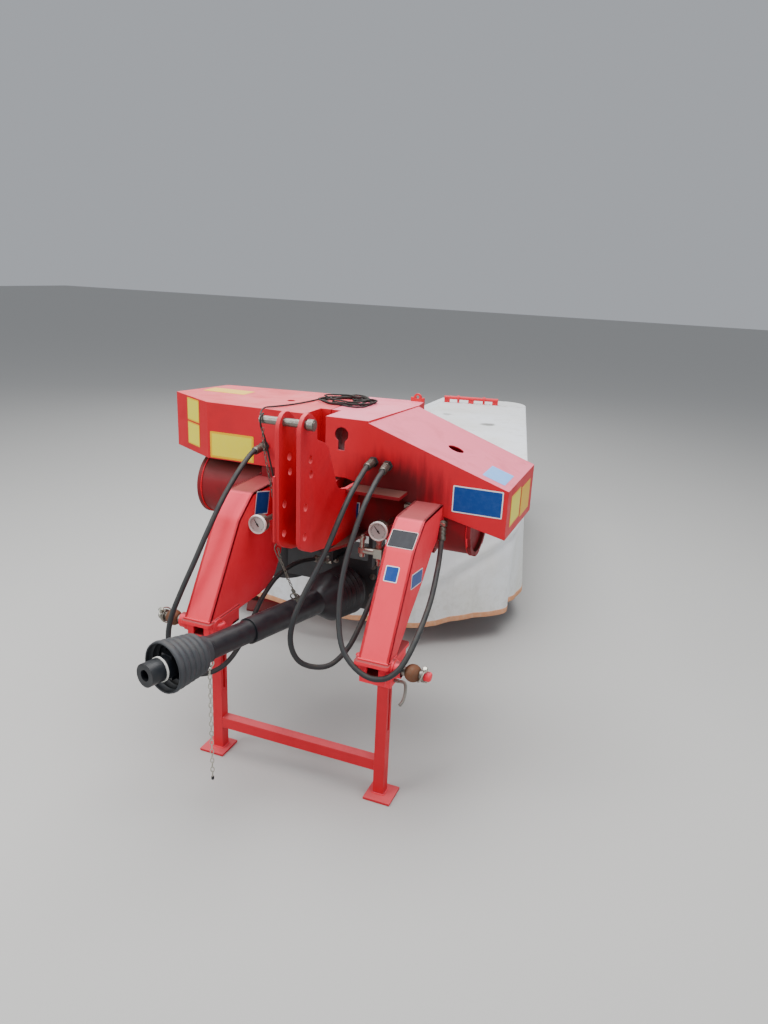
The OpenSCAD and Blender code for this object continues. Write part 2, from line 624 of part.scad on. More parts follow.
// Oval cutting disc with two knives; neighbours stand a quarter turn apart
disc_low = bar_z + 52;
module disc(i) framed() color(i == 0 || i == discs - 1 ? steel : dark_red) in_unit()
    translate([bar_x, first_disc_y + i * disc_pitch, disc_low]) rotate([0, 0, i % 2 == 0 ? 0 : 90]) {
        linear_extrude(8) oval(165, 118);
        translate([0, 0, 8]) cylinder(h = 26, r1 = 105, r2 = 60, $fn = 32);
        for (s = [-1, 1]) translate([s * 150, 0, -6]) {
            translate([s > 0 ? 0 : -(knife_r - 150), -24, 0]) cube([knife_r - 150, 48, 6]);
            cylinder(h = 14, r = 12);
        }
    }
module oval(a, b) intersection() { circle(r = a); square([2 * a, 2 * b], center = true); }
module disc_1() disc(0);
module disc_2() disc(1);
module disc_3() disc(2);
module disc_4() disc(3);
module disc_5() disc(4);
module disc_6() disc(5);

// Tined conditioner rotor
rotor_y0 = inner_plate_y + 60;
rotor_y1 = outer_plate_y - 10;
rotor_shaft_r = 28;
tine_rows = 4;
tines_a_row = 11;
tine_pitch = (rotor_y1 - rotor_y0 - 80) / (tines_a_row - 0.5);
module conditioner_rotor() framed() color(dark_red) in_unit() translate([rotor_x, 0, rotor_z]) {
    difference() {
        on_y(rotor_y0, rotor_y1, 78);
        on_y(rotor_y0 + 8, rotor_y1 - 8, 70);
    }
    on_y(inner_plate_y + 20, outer_plate_y + 30, rotor_shaft_r);
    for (k = [0:tine_rows - 1], j = [0:tines_a_row - 1])
        rotate([0, k * 360 / tine_rows, 0])
            translate([-7, rotor_y0 + 40 + (j + (k % 2) / 2) * tine_pitch, 70]) tine();
}
module tine() rotate([90, 0, 90]) linear_extrude(14)
    polygon([[-22, 0], [22, 0], [46, rotor_r - 74], [30, rotor_r - 74], [0, 46], [-30, rotor_r - 74], [-46, rotor_r - 74]]);

// Hood over the rotor
hood_r = rotor_r + 16;
module rotor_hood() framed() color(red) in_unit() translate([rotor_x, 0, rotor_z])
    translate([0, outer_plate_y - seat, 0]) rotate([90, 0, 0])
        linear_extrude(outer_plate_y - inner_plate_y - 50 - 2 * seat) difference() {
            circle(r = hood_r + sheet_t);
            circle(r = hood_r);
            polygon([[-600, -600], [600, -600], [600, -40], [0, 40], [-600, 120]]);
        }

// Swath doors on upright pins behind the rotor
door_len = 340;
module swath_door(y) framed() color(red) in_unit() translate([door_x, y, 0]) {
    translate([0, 0, 200]) cylinder(h = rail_z - 220 - seat, r = 10);
    translate([8, -3, 220]) cube([door_len, 6, 380]);
}
door_x = 570;
module swath_door_inner() swath_door(inner_plate_y + 215);
module swath_door_outer() swath_door(outer_plate_y - 220);

// Canopy outline with a bulged near end and rounded far corners, grown by g
module canopy_plan(g) {
    union() {
        translate([canopy_x - half_w - g, canopy_near]) square([canopy_w + 2 * g, canopy_far - canopy_corner - canopy_near]);
        translate([canopy_x - half_w + canopy_corner, canopy_near]) square([canopy_w - 2 * canopy_corner, canopy_far - canopy_near + g]);
        for (s = [-1, 1]) translate([canopy_x + s * (half_w - canopy_corner), canopy_far - canopy_corner]) circle(r = canopy_corner + g);
        intersection() {
            translate([canopy_x, canopy_near + bulge_r - canopy_bulge]) circle(r = bulge_r + g, $fn = 240);
            translate([canopy_x - half_w - g, 0]) square([canopy_w + 2 * g, canopy_near + 1]);
        }
    }
}
module notch(g = 0) translate([-notch_half - g, 0]) square([2 * (notch_half + g), notch_end + g]);

// Steel frame that carries the cloth: a rim on edge and cross ribs
rim_w = 30;
rim_h = 40;
// The roof lies lower beside the lift arm and rises to its full height over the outlet
canopy_drop = 80;
slope_x = [240, 400];
plate_top = canopy_z - canopy_drop - rim_h - 4;
function roof_line(level) = [[canopy_x - canopy_w, canopy_z - canopy_drop + level],
    [slope_x[0], canopy_z - canopy_drop + level], [slope_x[1], canopy_z + level],
    [canopy_x + canopy_w, canopy_z + level]];
module roof_band(low, high) translate([0, canopy_far + 100, 0]) rotate([90, 0, 0])
    linear_extrude(canopy_far + 200)
        polygon(concat(roof_line(low), [for (k = [3:-1:0]) roof_line(high)[k]]));
module beam_space(gap)
    block([-beam_w / 2 - gap, hinge_y, 0], [beam_w / 2 + gap, outer_plate_y + 20, beam_high + gap]);
rib_y = [for (k = [0:2]) notch_end + 40 + k * (flap_y - notch_end + 120) / 3];
module before_flap(g) translate([canopy_x - canopy_w, 0]) square([2 * canopy_w, flap_y - g]);
module after_flap(g) translate([canopy_x - canopy_w, flap_y + g]) square([2 * canopy_w, 1000]);
module canopy_frame() framed() color(red) in_unit() {
    difference() {
        intersection() {
            linear_extrude(canopy_z + 1) difference() {
                intersection() {
                    canopy_plan(-seat);
                    before_flap(5);
                }
                difference() {
                    intersection() {
                        canopy_plan(-rim_w);
                        before_flap(5 + rim_w);
                    }
                    for (y = rib_y) translate([canopy_x - half_w, y - 15]) square([canopy_w, 30]);
                    difference() { notch(30); notch(0); }
                }
                notch(0);
            }
            roof_band(-rim_h, 0);
        }
        beam_space(seat);
    }
    for (x = [-90, 90]) translate([guard_x + x, 0, 0]) difference() {
        union() {
            translate([0, flap_y, guard_hinge_z]) on_x(-8, 8, guard_bar_r + 6);
            block([-8, flap_y - 4.7, canopy_z - rim_h + 2], [8, flap_y + 4.7, guard_hinge_z]);
            block([-8, flap_y - rim_w, canopy_z - rim_h + 2], [8, flap_y - 4, canopy_z - 2]);
        }
        translate([0, flap_y, guard_hinge_z]) on_x(-30, 30, guard_bar_r + run_fit);
    }
}

module canopy_cover() framed() color(cream) in_unit() intersection() {
    linear_extrude(canopy_z + 20) difference() {
        intersection() {
            canopy_plan(cloth_t);
            before_flap(5);
        }
        notch(0);
    }
    roof_band(seat, seat + cloth_t);
}

// Curtain ring between the hem and the canopy's edge, cut to one side by the given outline
module curtain(roof = 0) intersection() {
    translate([0, 0, hem_z]) linear_extrude(canopy_z) difference() {
        intersection() {
            difference() {
                canopy_plan(cloth_t);
                canopy_plan(0);
            }
            children();
        }
        notch(0);
    }
    roof_band(-canopy_z, roof);
}
module curtain_inner() framed() color(cream) in_unit() {
    curtain() translate([canopy_x - 2 * half_w, 0]) square([4 * half_w, canopy_near + 40]);
    translate([0, 0, hem_z]) linear_extrude(250) intersection() {
        difference() {
            canopy_plan(cloth_t);
            canopy_plan(0);
        }
        notch(1);
    }
}
module curtain_outlet() framed() color(cream) in_unit()
    curtain() translate([canopy_x, canopy_near + 41]) square([2 * half_w, flap_y - 5 - canopy_near - 41]);
module curtain_front() framed() color(cream) in_unit()
    curtain() translate([canopy_x - 2 * half_w, canopy_near + 41]) square([2 * half_w, flap_y - 5 - canopy_near - 41]);

// Outer guard: a flap hinged on the canopy's far edge, with its bar and brackets
guard_x = 610;
guard_hinge_z = canopy_z + 40;
guard_bar_r = 12;
module outer_guard() framed() color(red) in_unit() {
    translate([guard_x, flap_y, guard_hinge_z]) on_x(-190, 190, guard_bar_r);
    for (x = [-170, 0, 170]) translate([guard_x + x, 0, 0]) {
        block([-20, flap_y - 3, canopy_z - rim_h + 2], [20, flap_y + 4.6, guard_hinge_z]);
        block([-20, flap_y + 4, canopy_z - rim_h + 2], [20, flap_y + rim_w, canopy_z - 2]);
    }
    difference() {
        intersection() {
            linear_extrude(canopy_z + 1) difference() {
                intersection() {
                    canopy_plan(-seat);
                    after_flap(5);
                }
                intersection() {
                    canopy_plan(-rim_w);
                    after_flap(5 + rim_w);
                }
            }
            roof_band(-rim_h, 0);
        }
        beam_space(3);
    }
}
module curtain_outer() framed() color(cream) in_unit() {
    curtain(roof = 1) after_flap(5);
    intersection() {
        linear_extrude(canopy_z + 20) intersection() {
            canopy_plan(cloth_t);
            after_flap(5);
        }
        roof_band(seat, seat + cloth_t);
    }
}

// Hoses and control cord: a tube swept along hand-chosen points, ring by ring, with its ends closed
function unit(v) = v / norm(v);
function path_dir(p, i) = unit(p[min(i + 1, len(p) - 1)] - p[max(i - 1, 0)]);
module swept_tube(p, r, sides = 8) {
    n = len(p);
    loop_axis = cross(p[floor(n / 2)] - p[0], p[n - 1] - p[0]);
    rings = [for (i = [0:n - 1])
        let (t = path_dir(p, i), a = unit(cross(t, loop_axis)), b = cross(t, a))
            for (k = [0:sides - 1]) p[i] + r * (cos(360 * k / sides) * a + sin(360 * k / sides) * b)];
    walls = [for (i = [0:n - 2], k = [0:sides - 1])
        let (m = (k + 1) % sides, q = i * sides)
            each [[q + k, q + sides + m, q + m], [q + k, q + sides + k, q + sides + m]]];
    polyhedron(rings, concat([[for (k = [0:sides - 1]) k]], walls,
        [[for (k = [sides - 1:-1:0]) (n - 1) * sides + k]]));
}
hose_r = 9;
left_route = [[-325, 408, 1062], [-325, 345, 1057], [-324, 275, 1026], [-328, 205, 975], [-334, 140, 913],
    [-344, 70, 826], [-358, 20, 745], [-378, -28, 656], [-398, -64, 568], [-405, -76, 490], [-394, -68, 418],
    [-362, -42, 362], [-316, 2, 342], [-276, 58, 358], [-254, 120, 406], [-250, 190, 464], [-250, 270, 528],
    [-240, 345, 578], [-224, 405, 602], [-206, 460, 613], [-182, 508, 613], [-152, 540, 612], hose_end[0]];
right_route_a = [[107, 408, 1060], [113, 350, 1057], [119, 290, 1042], [121, 235, 1018], [120, 180, 982], [115, 125, 928],
    [105, 80, 864], [88, 40, 796], [64, -4, 720], [44, -36, 642], [36, -40, 562], [50, -16, 492],
    [86, 24, 456], [130, 68, 454], [164, 130, 496], [182, 196, 568], [196, 262, 652], [212, 330, 748],
    [hose_end[1][0] - 14, 388, 834], hose_end[1]];
right_route_b = [[161, 408, 1053], [171, 350, 1049], [178, 290, 1038], [181, 235, 1015], [180, 176, 975], [176, 125, 912],
    [170, 80, 836], [170, 40, 750], [182, 2, 660], [212, -34, 584], [262, -52, 536], [318, -56, 514],
    [366, -46, 520], [400, -26, 550], [420, 14, 598], [428, 80, 650], [428, 160, 706], [416, 250, 766],
    [397, 335, 796], [hose_end[2][0] + 7, 400, 826], hose_end[2]];
module hose_left() framed() color(black) swept_tube(left_route, hose_r);
module hose_right_a() framed() color(black) swept_tube(right_route_a, hose_r);
module hose_right_b() framed() color(black) swept_tube(right_route_b, hose_r);

// Control cord: a loose coil on the covers, and a strand over the top pin's end into the mast's hole
cord_r = 3;
coil_at = [-130, 735];
coil_out = 115;
coil_in = 58;
coil_h = 22;
cord_route = [[-249, 735, 1203.5], [-252, 690, 1203.5], [-258, 640, 1203.5], [-270, 580, 1203.5], [-290, 520, 1203.5],
    [-312, 470, 1204], [-318, 425, 1207], [-290, 350, 1212], [-240, 255, 1220], [-185, 160, 1234], [-140, 90, 1252],
    [-112, 52, 1264], [-104, 34, 1267], [-102, 19, 1258], [-102, 18, 1240], [-104, 30, 1218], [-102, 48, 1180],
    [-92, 54, 1125], [-76, 52, 1065], [-60, 44, 1014], [-47, 36, 994]];
module control_cord() framed() color(black) swept_tube(cord_route, cord_r);
module cord_coil() framed() color(black) translate([coil_at[0], coil_at[1], cover_top_z + seat])
    rotate_extrude() translate([coil_in, 0]) square([coil_out - coil_in, coil_h]);

cross_tube();
mast();
top_pin();
left_leg();
right_leg();
hitch_pins();
hitch_balls();
left_cover();
right_cover();
hose_ports();
gauges();
swing_bracket();
input_gearbox();
stand();
stand_pins();
pto_cross();
pto_tube();
pto_front();
pto_yoke();
swing_arm();
swivel_gearbox();
unit_shaft();
swing_barrel();
swing_rod();
lift_barrel();
lift_rod();
mower_frame();
cutterbar();
disc_1();
disc_2();
disc_3();
disc_4();
disc_5();
disc_6();
conditioner_rotor();
rotor_hood();
swath_door_inner();
swath_door_outer();
canopy_frame();
canopy_cover();
curtain_inner();
curtain_outlet();
curtain_front();
outer_guard();
curtain_outer();
cover_lug();
hose_fittings();
gauge_valve();
hose_left();
hose_right_a();
hose_right_b();
control_cord();
cord_coil();
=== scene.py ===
import math

import bmesh
import bpy
import numpy as np
from mathutils import Matrix, Vector
from mathutils.geometry import tessellate_polygon


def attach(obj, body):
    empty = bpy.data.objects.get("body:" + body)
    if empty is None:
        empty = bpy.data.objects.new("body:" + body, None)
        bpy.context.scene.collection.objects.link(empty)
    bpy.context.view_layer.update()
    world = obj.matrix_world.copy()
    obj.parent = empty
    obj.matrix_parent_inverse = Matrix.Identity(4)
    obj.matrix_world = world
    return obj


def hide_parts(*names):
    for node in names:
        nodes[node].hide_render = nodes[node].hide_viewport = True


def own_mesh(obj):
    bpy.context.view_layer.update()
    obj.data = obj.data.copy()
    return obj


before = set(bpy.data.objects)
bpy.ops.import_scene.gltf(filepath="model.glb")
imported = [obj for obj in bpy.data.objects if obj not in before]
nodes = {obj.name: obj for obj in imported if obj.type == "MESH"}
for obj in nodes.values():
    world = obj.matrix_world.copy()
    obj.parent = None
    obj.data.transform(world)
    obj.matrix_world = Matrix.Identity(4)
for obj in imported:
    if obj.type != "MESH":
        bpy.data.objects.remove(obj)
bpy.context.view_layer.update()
scene = bpy.context.scene

# The machine's own millimetres: X to its right seen from the tractor's side, Y away from the tractor,
# Z up, zero on the floor below the middle of the hitch balls.
ORIGIN = np.array([-422.0, 1563.0, 0.0])
SWING_PIN = np.array([-400.0, 750.0, 0.0])
PARK = math.radians(12)
TUBE_Y, TUBE_Z, TUBE_R = 560, 860, 120
STAND_X, STAND_Y, HITCH_Z = 315, 86, 532
RIGHT, AWAY, UP = [1, 0, 0], [0, 1, 0], [0, 0, 1]


def at(points):
    """Headstock millimetres to the frame's metres: (point - origin) / 1000."""
    return (np.asarray(points, float) - ORIGIN) / 1000


def parked(points):
    """Mowing unit millimetres to the frame's metres: turned by the parking angle, then set on the swing pin."""
    p = np.asarray(points, float)
    c, s = math.cos(PARK), math.sin(PARK)
    turned = np.stack([c * p[..., 0] - s * p[..., 1], s * p[..., 0] + c * p[..., 1], p[..., 2]], -1)
    return at(turned + SWING_PIN)


# Camera: where the photographer stood, 18 degrees down on the hitch from its right

eye = bpy.data.cameras.new("camera")
eye.sensor_fit = "VERTICAL"
eye.sensor_height = 36.0
eye.lens = 27.07
camera = bpy.data.objects.new("camera", eye)
scene.collection.objects.link(camera)
look = np.array([[0.9296, 0.3688, 0.043], [-0.150, 0.268, 0.9525], [0.339, -0.890, 0.304]])
camera.matrix_world = Matrix.Translation((1.498, -3.555, 1.71)) @ Matrix(look.T.tolist()).to_4x4()
scene.camera = camera


# Colours and finishes

def linear(code):
    """sRGB hex colour as the linear values that a shader takes."""
    c = np.array([int(code[i:i + 2], 16) for i in (1, 3, 5)]) / 255
    c = np.where(c > 0.04045, ((c + 0.055) / 1.055) ** 2.4, c / 12.92)
    return (*c.tolist(), 1.0)


def fill(tree, node, sockets):
    """Links or sets a node's sockets, given by name or in their order."""
    for key, value in sockets.items() if isinstance(sockets, dict) else enumerate(sockets):
        if isinstance(value, bpy.types.NodeSocket):
            tree.links.new(value, node.inputs[key])
        else:
            node.inputs[key].default_value = value


def add(tree, kind, sockets=(), out=0, **settings):
    """Adds one node, sets its settings, fills or links its sockets, and gives one of its outputs."""
    made = tree.nodes.new("ShaderNode" + kind)
    for key, value in settings.items():
        setattr(made, key, value)
    fill(tree, made, sockets)
    return made.outputs[out]


# Sockets of the colour Mix node. A MapRange takes [value, from low, from high, to low, to high].
FACTOR, FIRST, SECOND, MIXED = 0, 6, 7, 2


def coats(tree, ground, layers):
    """Colour built up like paint: each (share, colour) layer covers by its share what lies below it."""
    tone = linear(ground)
    for share, colour in layers:
        tone = add(tree, "Mix", {FACTOR: share, FIRST: tone, SECOND: linear(colour)}, MIXED, data_type="RGBA")
    return tone


def finish_tree(name):
    """A material's node tree, its surface shader and its object coordinates."""
    made = bpy.data.materials.new(name)
    made.use_nodes = True
    tree = made.node_tree
    return made, tree, tree.nodes["Principled BSDF"], add(tree, "TexCoord", out="Object")


def enamel(name, fresh, faded, dust, worn, gloss, sky_sheen_and_dust, sky_sheen_and_dust_share=0.8, grime=0.3, settled=0.0, oil=None):
    """Sprayed machine enamel over welded steel, years outdoors: sun-faded in clouds, a pink painted sky reflection with
    some chalking where it faces the sky (real dust there on the darker red), dirt settled on what lies level, greasy
    dust in patches, and a paler painted edge highlight, with some paint rubbed thin, along its edges."""
    made, tree, surface, place = finish_tree(name)
    clouds = add(tree, "TexNoise", {"Vector": place, "Scale": 2.6, "Detail": 5.0})
    fade = add(tree, "MapRange", [clouds, 0.35, 0.68])
    # Faces that look at the sky take the top colour: on the red finishes a pink painted reflection of the bright sky,
    # with some chalking by sun and rain; on the darker red, real dust
    normal = add(tree, "NewGeometry", out="Normal")
    height = add(tree, "SeparateXYZ", [normal], "Z")
    skyward_sheen_and_dust = add(tree, "MapRange", [height, 0.35, 0.95, 0, sky_sheen_and_dust_share])
    level = add(tree, "MapRange", [height, 0.9, 0.985, 0, settled])
    # Dust and grease in patches about 12 cm wide, with a fine ragged edge
    patches = add(tree, "TexNoise", {"Vector": place, "Scale": 8.0, "Detail": 9.0, "Roughness": 0.62,
                                     "Distortion": 0.4})
    dirty = add(tree, "MapRange", [patches, 0.5, 0.78, 0, grime])
    # A 3 mm round on the folded edges, and a paler colour along it: a painted edge highlight, with some paint rubbed
    # thin
    rounded = add(tree, "Bevel", {"Radius": 0.003}, samples=6)
    turn = add(tree, "VectorMath", [rounded, normal], "Value", operation="DOT_PRODUCT")
    edge = add(tree, "MapRange", [turn, 0.995, 0.9, 0, 0.55])
    rub = add(tree, "TexNoise", {"Vector": place, "Scale": 60.0, "Detail": 4.0})
    painted_edge_highlight_and_wear = add(tree, "Math", [edge, rub], operation="MULTIPLY")
    layers = [(fade, faded), (skyward_sheen_and_dust, sky_sheen_and_dust), (level, "#5a3c33"), (dirty, dust), (painted_edge_highlight_and_wear, worn)]
    if oil:
        # Oil wept from the hose ports: a dark wet halo with runs that trail down from it
        centre, reach = oil
        away = add(tree, "VectorMath", [place, centre], operation="SUBTRACT")
        run = add(tree, "VectorMath", [away, (0.75, 1.0, 1.15)], operation="MULTIPLY")
        streaks = add(tree, "Mapping", {"Vector": place, "Scale": (38.0, 38.0, 5.0)})
        wander = add(tree, "TexNoise", {"Vector": streaks, "Scale": 1.0, "Detail": 3.0})
        span = add(tree, "VectorMath", [run], "Value", operation="LENGTH")
        spread = add(tree, "Math", [wander, 0.12, span], operation="MULTIPLY_ADD")
        wet = add(tree, "MapRange", [spread, reach, 0.12, 0, 0.85], interpolation_type="SMOOTHSTEP")
        layers.append((wet, "#2a0b0c"))
    # Sprayed enamel's orange peel, really about 2 mm, drawn at 4 mm so that it shows
    peel = add(tree, "TexNoise", {"Vector": place, "Scale": 250.0, "Detail": 2.0})
    fill(tree, surface, {
        "Base Color": coats(tree, fresh, layers),
        "Roughness": add(tree, "MapRange", [patches, 0.35, 0.75, gloss, gloss + 0.28]),
        "Normal": add(tree, "Bump", {"Height": peel, "Strength": 0.12, "Distance": 0.0006, "Normal": rounded}),
        "Specular IOR Level": 0.3, "Coat Weight": 0.05, "Coat Roughness": 0.2})
    return made


def metal(name, bright, dull, rust, rusted, rough, metallic=1.0, pits=0.25):
    """Bare, plated or cast metal: bright and dull clouds, rust in the patches that rain reaches, and fine pitting."""
    made, tree, surface, place = finish_tree(name)
    clouds = add(tree, "TexNoise", {"Vector": place, "Scale": 22.0, "Detail": 6.0})
    patches = add(tree, "TexNoise", {"Vector": place, "Scale": 55.0, "Detail": 8.0, "Roughness": 0.65})
    old = add(tree, "MapRange", [patches, 0.62 - 0.3 * rusted, 0.78 - 0.2 * rusted, 0, rusted])
    grain = add(tree, "TexNoise", {"Vector": place, "Scale": 420.0, "Detail": 3.0})
    rounded = add(tree, "Bevel", {"Radius": 0.0015}, samples=4)
    fill(tree, surface, {
        "Base Color": coats(tree, bright, [(clouds, dull), (old, rust)]),
        "Metallic": add(tree, "MapRange", [old, 0, 1, metallic, 0.15]),
        "Roughness": add(tree, "MapRange", [old, 0, 1, rough, 0.85]),
        "Normal": add(tree, "Bump", {"Height": grain, "Strength": pits, "Distance": 0.0005, "Normal": rounded})})
    return made


def moulded(name, fresh, grey, dust, rough, dusty=0.5, grain_scale=300.0):
    """Black rubber or plastic that has lain in the yard: greyed by sun in clouds, dust lodged on its upper side."""
    made, tree, surface, place = finish_tree(name)
    clouds = add(tree, "TexNoise", {"Vector": place, "Scale": 9.0, "Detail": 6.0})
    height = add(tree, "SeparateXYZ", [add(tree, "NewGeometry", out="Normal")], "Z")
    up = add(tree, "MapRange", [height, 0.1, 1.0, 0, dusty])
    patches = add(tree, "TexNoise", {"Vector": place, "Scale": 36.0, "Detail": 8.0, "Roughness": 0.6})
    lodged = add(tree, "MapRange", [patches, 0.4, 0.7])
    much = add(tree, "Math", [up, lodged], operation="MULTIPLY")
    grain = add(tree, "TexNoise", {"Vector": place, "Scale": grain_scale, "Detail": 2.0})
    fill(tree, surface, {
        "Base Color": coats(tree, fresh, [(clouds, grey), (much, dust)]),
        "Roughness": add(tree, "MapRange", [patches, 0.3, 0.7, rough, rough + 0.25]),
        "Normal": add(tree, "Bump", {"Height": grain, "Strength": 0.2, "Distance": 0.0006}), "IOR": 1.5})
    return made


def coated_cloth(name, clean, yellowed, soil, stains):
    """Tarpaulin, a polyester weave coated white on both sides: yellowed in clouds, soiled towards the hem where grass
    juice and mud splash it, with rain streaks down the curtains and a few old stains."""
    made, tree, surface, place = finish_tree(name)
    clouds = add(tree, "TexNoise", {"Vector": place, "Scale": 2.2, "Detail": 6.0, "Distortion": 0.3})
    aged = add(tree, "MapRange", [clouds, 0.4, 0.72])
    # Rain streaks: noise drawn out 12 times down the cloth
    stretched = add(tree, "Mapping", {"Vector": place, "Scale": (16.0, 16.0, 1.3)})
    streak = add(tree, "TexNoise", {"Vector": stretched, "Scale": 1.0, "Detail": 7.0, "Roughness": 0.6})
    runs = add(tree, "MapRange", [streak, 0.52, 0.8, 0, 0.35])
    # Splashes thin out from the hem, 13 cm above the floor, to knee height
    low = add(tree, "MapRange", [add(tree, "SeparateXYZ", [place], "Z"), 0.45, 0.12])
    spots = add(tree, "TexNoise", {"Vector": place, "Scale": 30.0, "Detail": 9.0, "Roughness": 0.7})
    splash = add(tree, "MapRange", [spots, 0.45, 0.75])
    splashed = add(tree, "Math", [low, splash], operation="MULTIPLY")
    much = add(tree, "Math", [splashed, 0.5], operation="MULTIPLY")
    layers = [(aged, yellowed), (runs, soil), (much, soil)]
    for centre, reach, depth in stains:
        away = add(tree, "VectorMath", [place, centre], "Value", operation="DISTANCE")
        ragged = add(tree, "Math", [spots, reach, away], operation="MULTIPLY_ADD")
        inside = add(tree, "MapRange", [ragged, 1.35 * reach, 0.75 * reach, 0, depth], interpolation_type="SMOOTHSTEP")
        layers.append((inside, "#4a4634"))
    # The weave shows through the coating; threads are really 1 mm apart, drawn 4 mm apart so that they show
    weave = add(tree, "Math", [add(tree, "TexWave", {"Vector": place, "Scale": 39.0, "Distortion": 0.4}, "Fac",
                                   bands_direction=way) for way in ("Z", "DIAGONAL")], operation="MAXIMUM")
    creased = add(tree, "TexNoise", {"Vector": place, "Scale": 14.0, "Detail": 4.0})
    fold = add(tree, "Math", [creased, 9.0, weave], operation="MULTIPLY_ADD")
    fill(tree, surface, {
        "Base Color": coats(tree, clean, layers),
        "Normal": add(tree, "Bump", {"Height": fold, "Strength": 0.35, "Distance": 0.0008}),
        "Roughness": 0.62, "Sheen Weight": 0.08, "IOR": 1.48})
    return made


def printed(name, colour, grey, rough=0.4, worn=0.25):
    """Printed sign film or an anodised plate: one even ink, bleached and scuffed in fine clouds."""
    made, tree, surface, place = finish_tree(name)
    scuffs = add(tree, "TexNoise", {"Vector": place, "Scale": 45.0, "Detail": 8.0, "Roughness": 0.65})
    bleach = add(tree, "MapRange", [scuffs, 0.45, 0.75, 0, worn])
    fill(tree, surface, {"Base Color": coats(tree, colour, [(bleach, grey)]), "Roughness": rough,
                         "Specular IOR Level": 0.25})
    return made


OIL_SPOT = tuple(at([190, 430, 965]).tolist())
FINISH = {
    # In the red enamels the pink colour for sky-facing faces is painted sky reflection and the paler edge colour is
    # painted edge highlight, both with some real chalking and wear
    "red": enamel("sun_faded_red_enamel", "#c60d20", "#d01a2c", "#8a2a2c", "#e8626a", 0.42, "#f26f78", 0.5),
    "red_cover": enamel("red_enamel_with_oil_runs", "#c60d20", "#d01a2c", "#8a2a2c", "#e8626a", 0.42, "#f788a2", 0.7,
                        oil=(OIL_SPOT, 0.25)),
    "leg_red": enamel("bright_red_leg_enamel", "#ee1c33", "#f4293f", "#9a2f30", "#f26a75", 0.5, "#fa5a72", 0.7, 0.12,
                      settled=0.75),
    # The darker red on the cross tube, shelves and other parts under the covers and canopy is painted shade of the
    # covers; the brown on its top faces is real dust
    "dark_red": enamel("dusty_dark_red_enamel", "#7c0a15", "#8e101e", "#4a2b27", "#983033", 0.5, "#4e372f", 0.85, 0.7),
    "steel": metal("worn_bare_steel", "#9a968e", "#6f6c66", "#5b3d2a", 0.35, 0.42),
    "zinc": metal("zinc_plated_steel", "#c9c7ba", "#9b998e", "#7d6f58", 0.2, 0.34),
    "dull": metal("dull_plated_steel", "#7d7a72", "#57544d", "#5b3d2a", 0.3, 0.45),
    "rust": metal("rusted_forged_steel", "#7b5a44", "#54382a", "#6e3f24", 0.8, 0.6, metallic=0.5, pits=0.6),
    "iron": metal("painted_cast_iron", "#2d2f32", "#1e2022", "#4b4238", 0.3, 0.6, metallic=0.0, pits=0.5),
    "chrome_rod": metal("hard_chromed_rod", "#d3d5d6", "#b9bcbd", "#8f8a80", 0.05, 0.16, pits=0.03),
    "rubber": moulded("weathered_black_rubber", "#1b1d20", "#2a2c2e", "#5d584d", 0.5),
    "guard": moulded("glossy_black_guard_plastic", "#101319", "#1b1f25", "#45433f", 0.3, dusty=0.35),
    "bellows": moulded("dusty_black_bellows", "#24272b", "#42454a", "#6b675e", 0.55, dusty=0.4),
    "cord": moulded("black_braided_cord", "#1b1a19", "#33302d", "#6a655b", 0.75, dusty=0.3, grain_scale=700.0),
    "cloth": coated_cloth("white_coated_tarpaulin", "#eaedf1", "#e4e4df", "#aca797", [
        (tuple(at([-349, 2831, 797]).tolist()), 0.05, 0.45), (tuple(at([-28, 2654, 797]).tolist()), 0.075, 0.75)]),
    "hem": printed("faded_orange_webbing", "#d99a72", "#e3c3a6", 0.8, 0.6),
    "blue": printed("blue_sign_film", "#0f4088", "#5f7fae", worn=0.15),
    "pale_blue": printed("bleached_blue_sign_film", "#7cb2f0", "#b4d0ee"),
    "white": printed("white_sign_film", "#e6e9ea", "#c5c8c6"),
    "yellow": printed("yellow_sign_film", "#e6b40c", "#dfc765"),
    "lemon": printed("bleached_yellow_sign_film", "#e8dc3a", "#e6df86", worn=0.15),
    "ink": printed("black_print", "#1c1c1e", "#4a4a48"),
    "plate": printed("anodised_dark_plate", "#20232a", "#3d4149", 0.45),
    "bezel": printed("white_enamelled_bezel", "#e9e8e2", "#c9c6bb", 0.3),
    "dial": printed("grey_gauge_dial", "#c6c8c3", "#b4b5ae", 0.35, 0.15),
}

NODE_FINISH = {
    # The cross tube and the parts under the covers and canopy take the darker red, which is painted shade
    "cross_tube": "dark_red", "swing_bracket": "dark_red", "swing_barrel": "dark_red", "lift_barrel": "dark_red",
    "cutterbar": "dark_red", "conditioner_rotor": "dark_red", "mower_frame": "red", "left_leg": "leg_red",
    "right_leg": "leg_red", "stand": "red", "right_cover": "red_cover", "top_pin": "steel",
    "hitch_pins": "steel", "stand_pins": "steel", "hitch_balls": "rust", "hose_ports": "iron",
    "hose_fittings": "zinc", "gauges": "zinc", "gauge_valve": "zinc", "input_gearbox": "iron",
    "swivel_gearbox": "iron", "pto_cross": "steel", "pto_tube": "guard", "pto_front": "bellows",
    "pto_yoke": "guard", "unit_shaft": "guard", "swing_rod": "chrome_rod", "lift_rod": "chrome_rod",
}
NODE_FINISH.update({"disc_%d" % i: "steel" for i in range(1, 7)})
for name, node in nodes.items():
    node.data.materials.clear()
    node.data.materials.append(FINISH[NODE_FINISH.get(name, "red")])


# Shapes

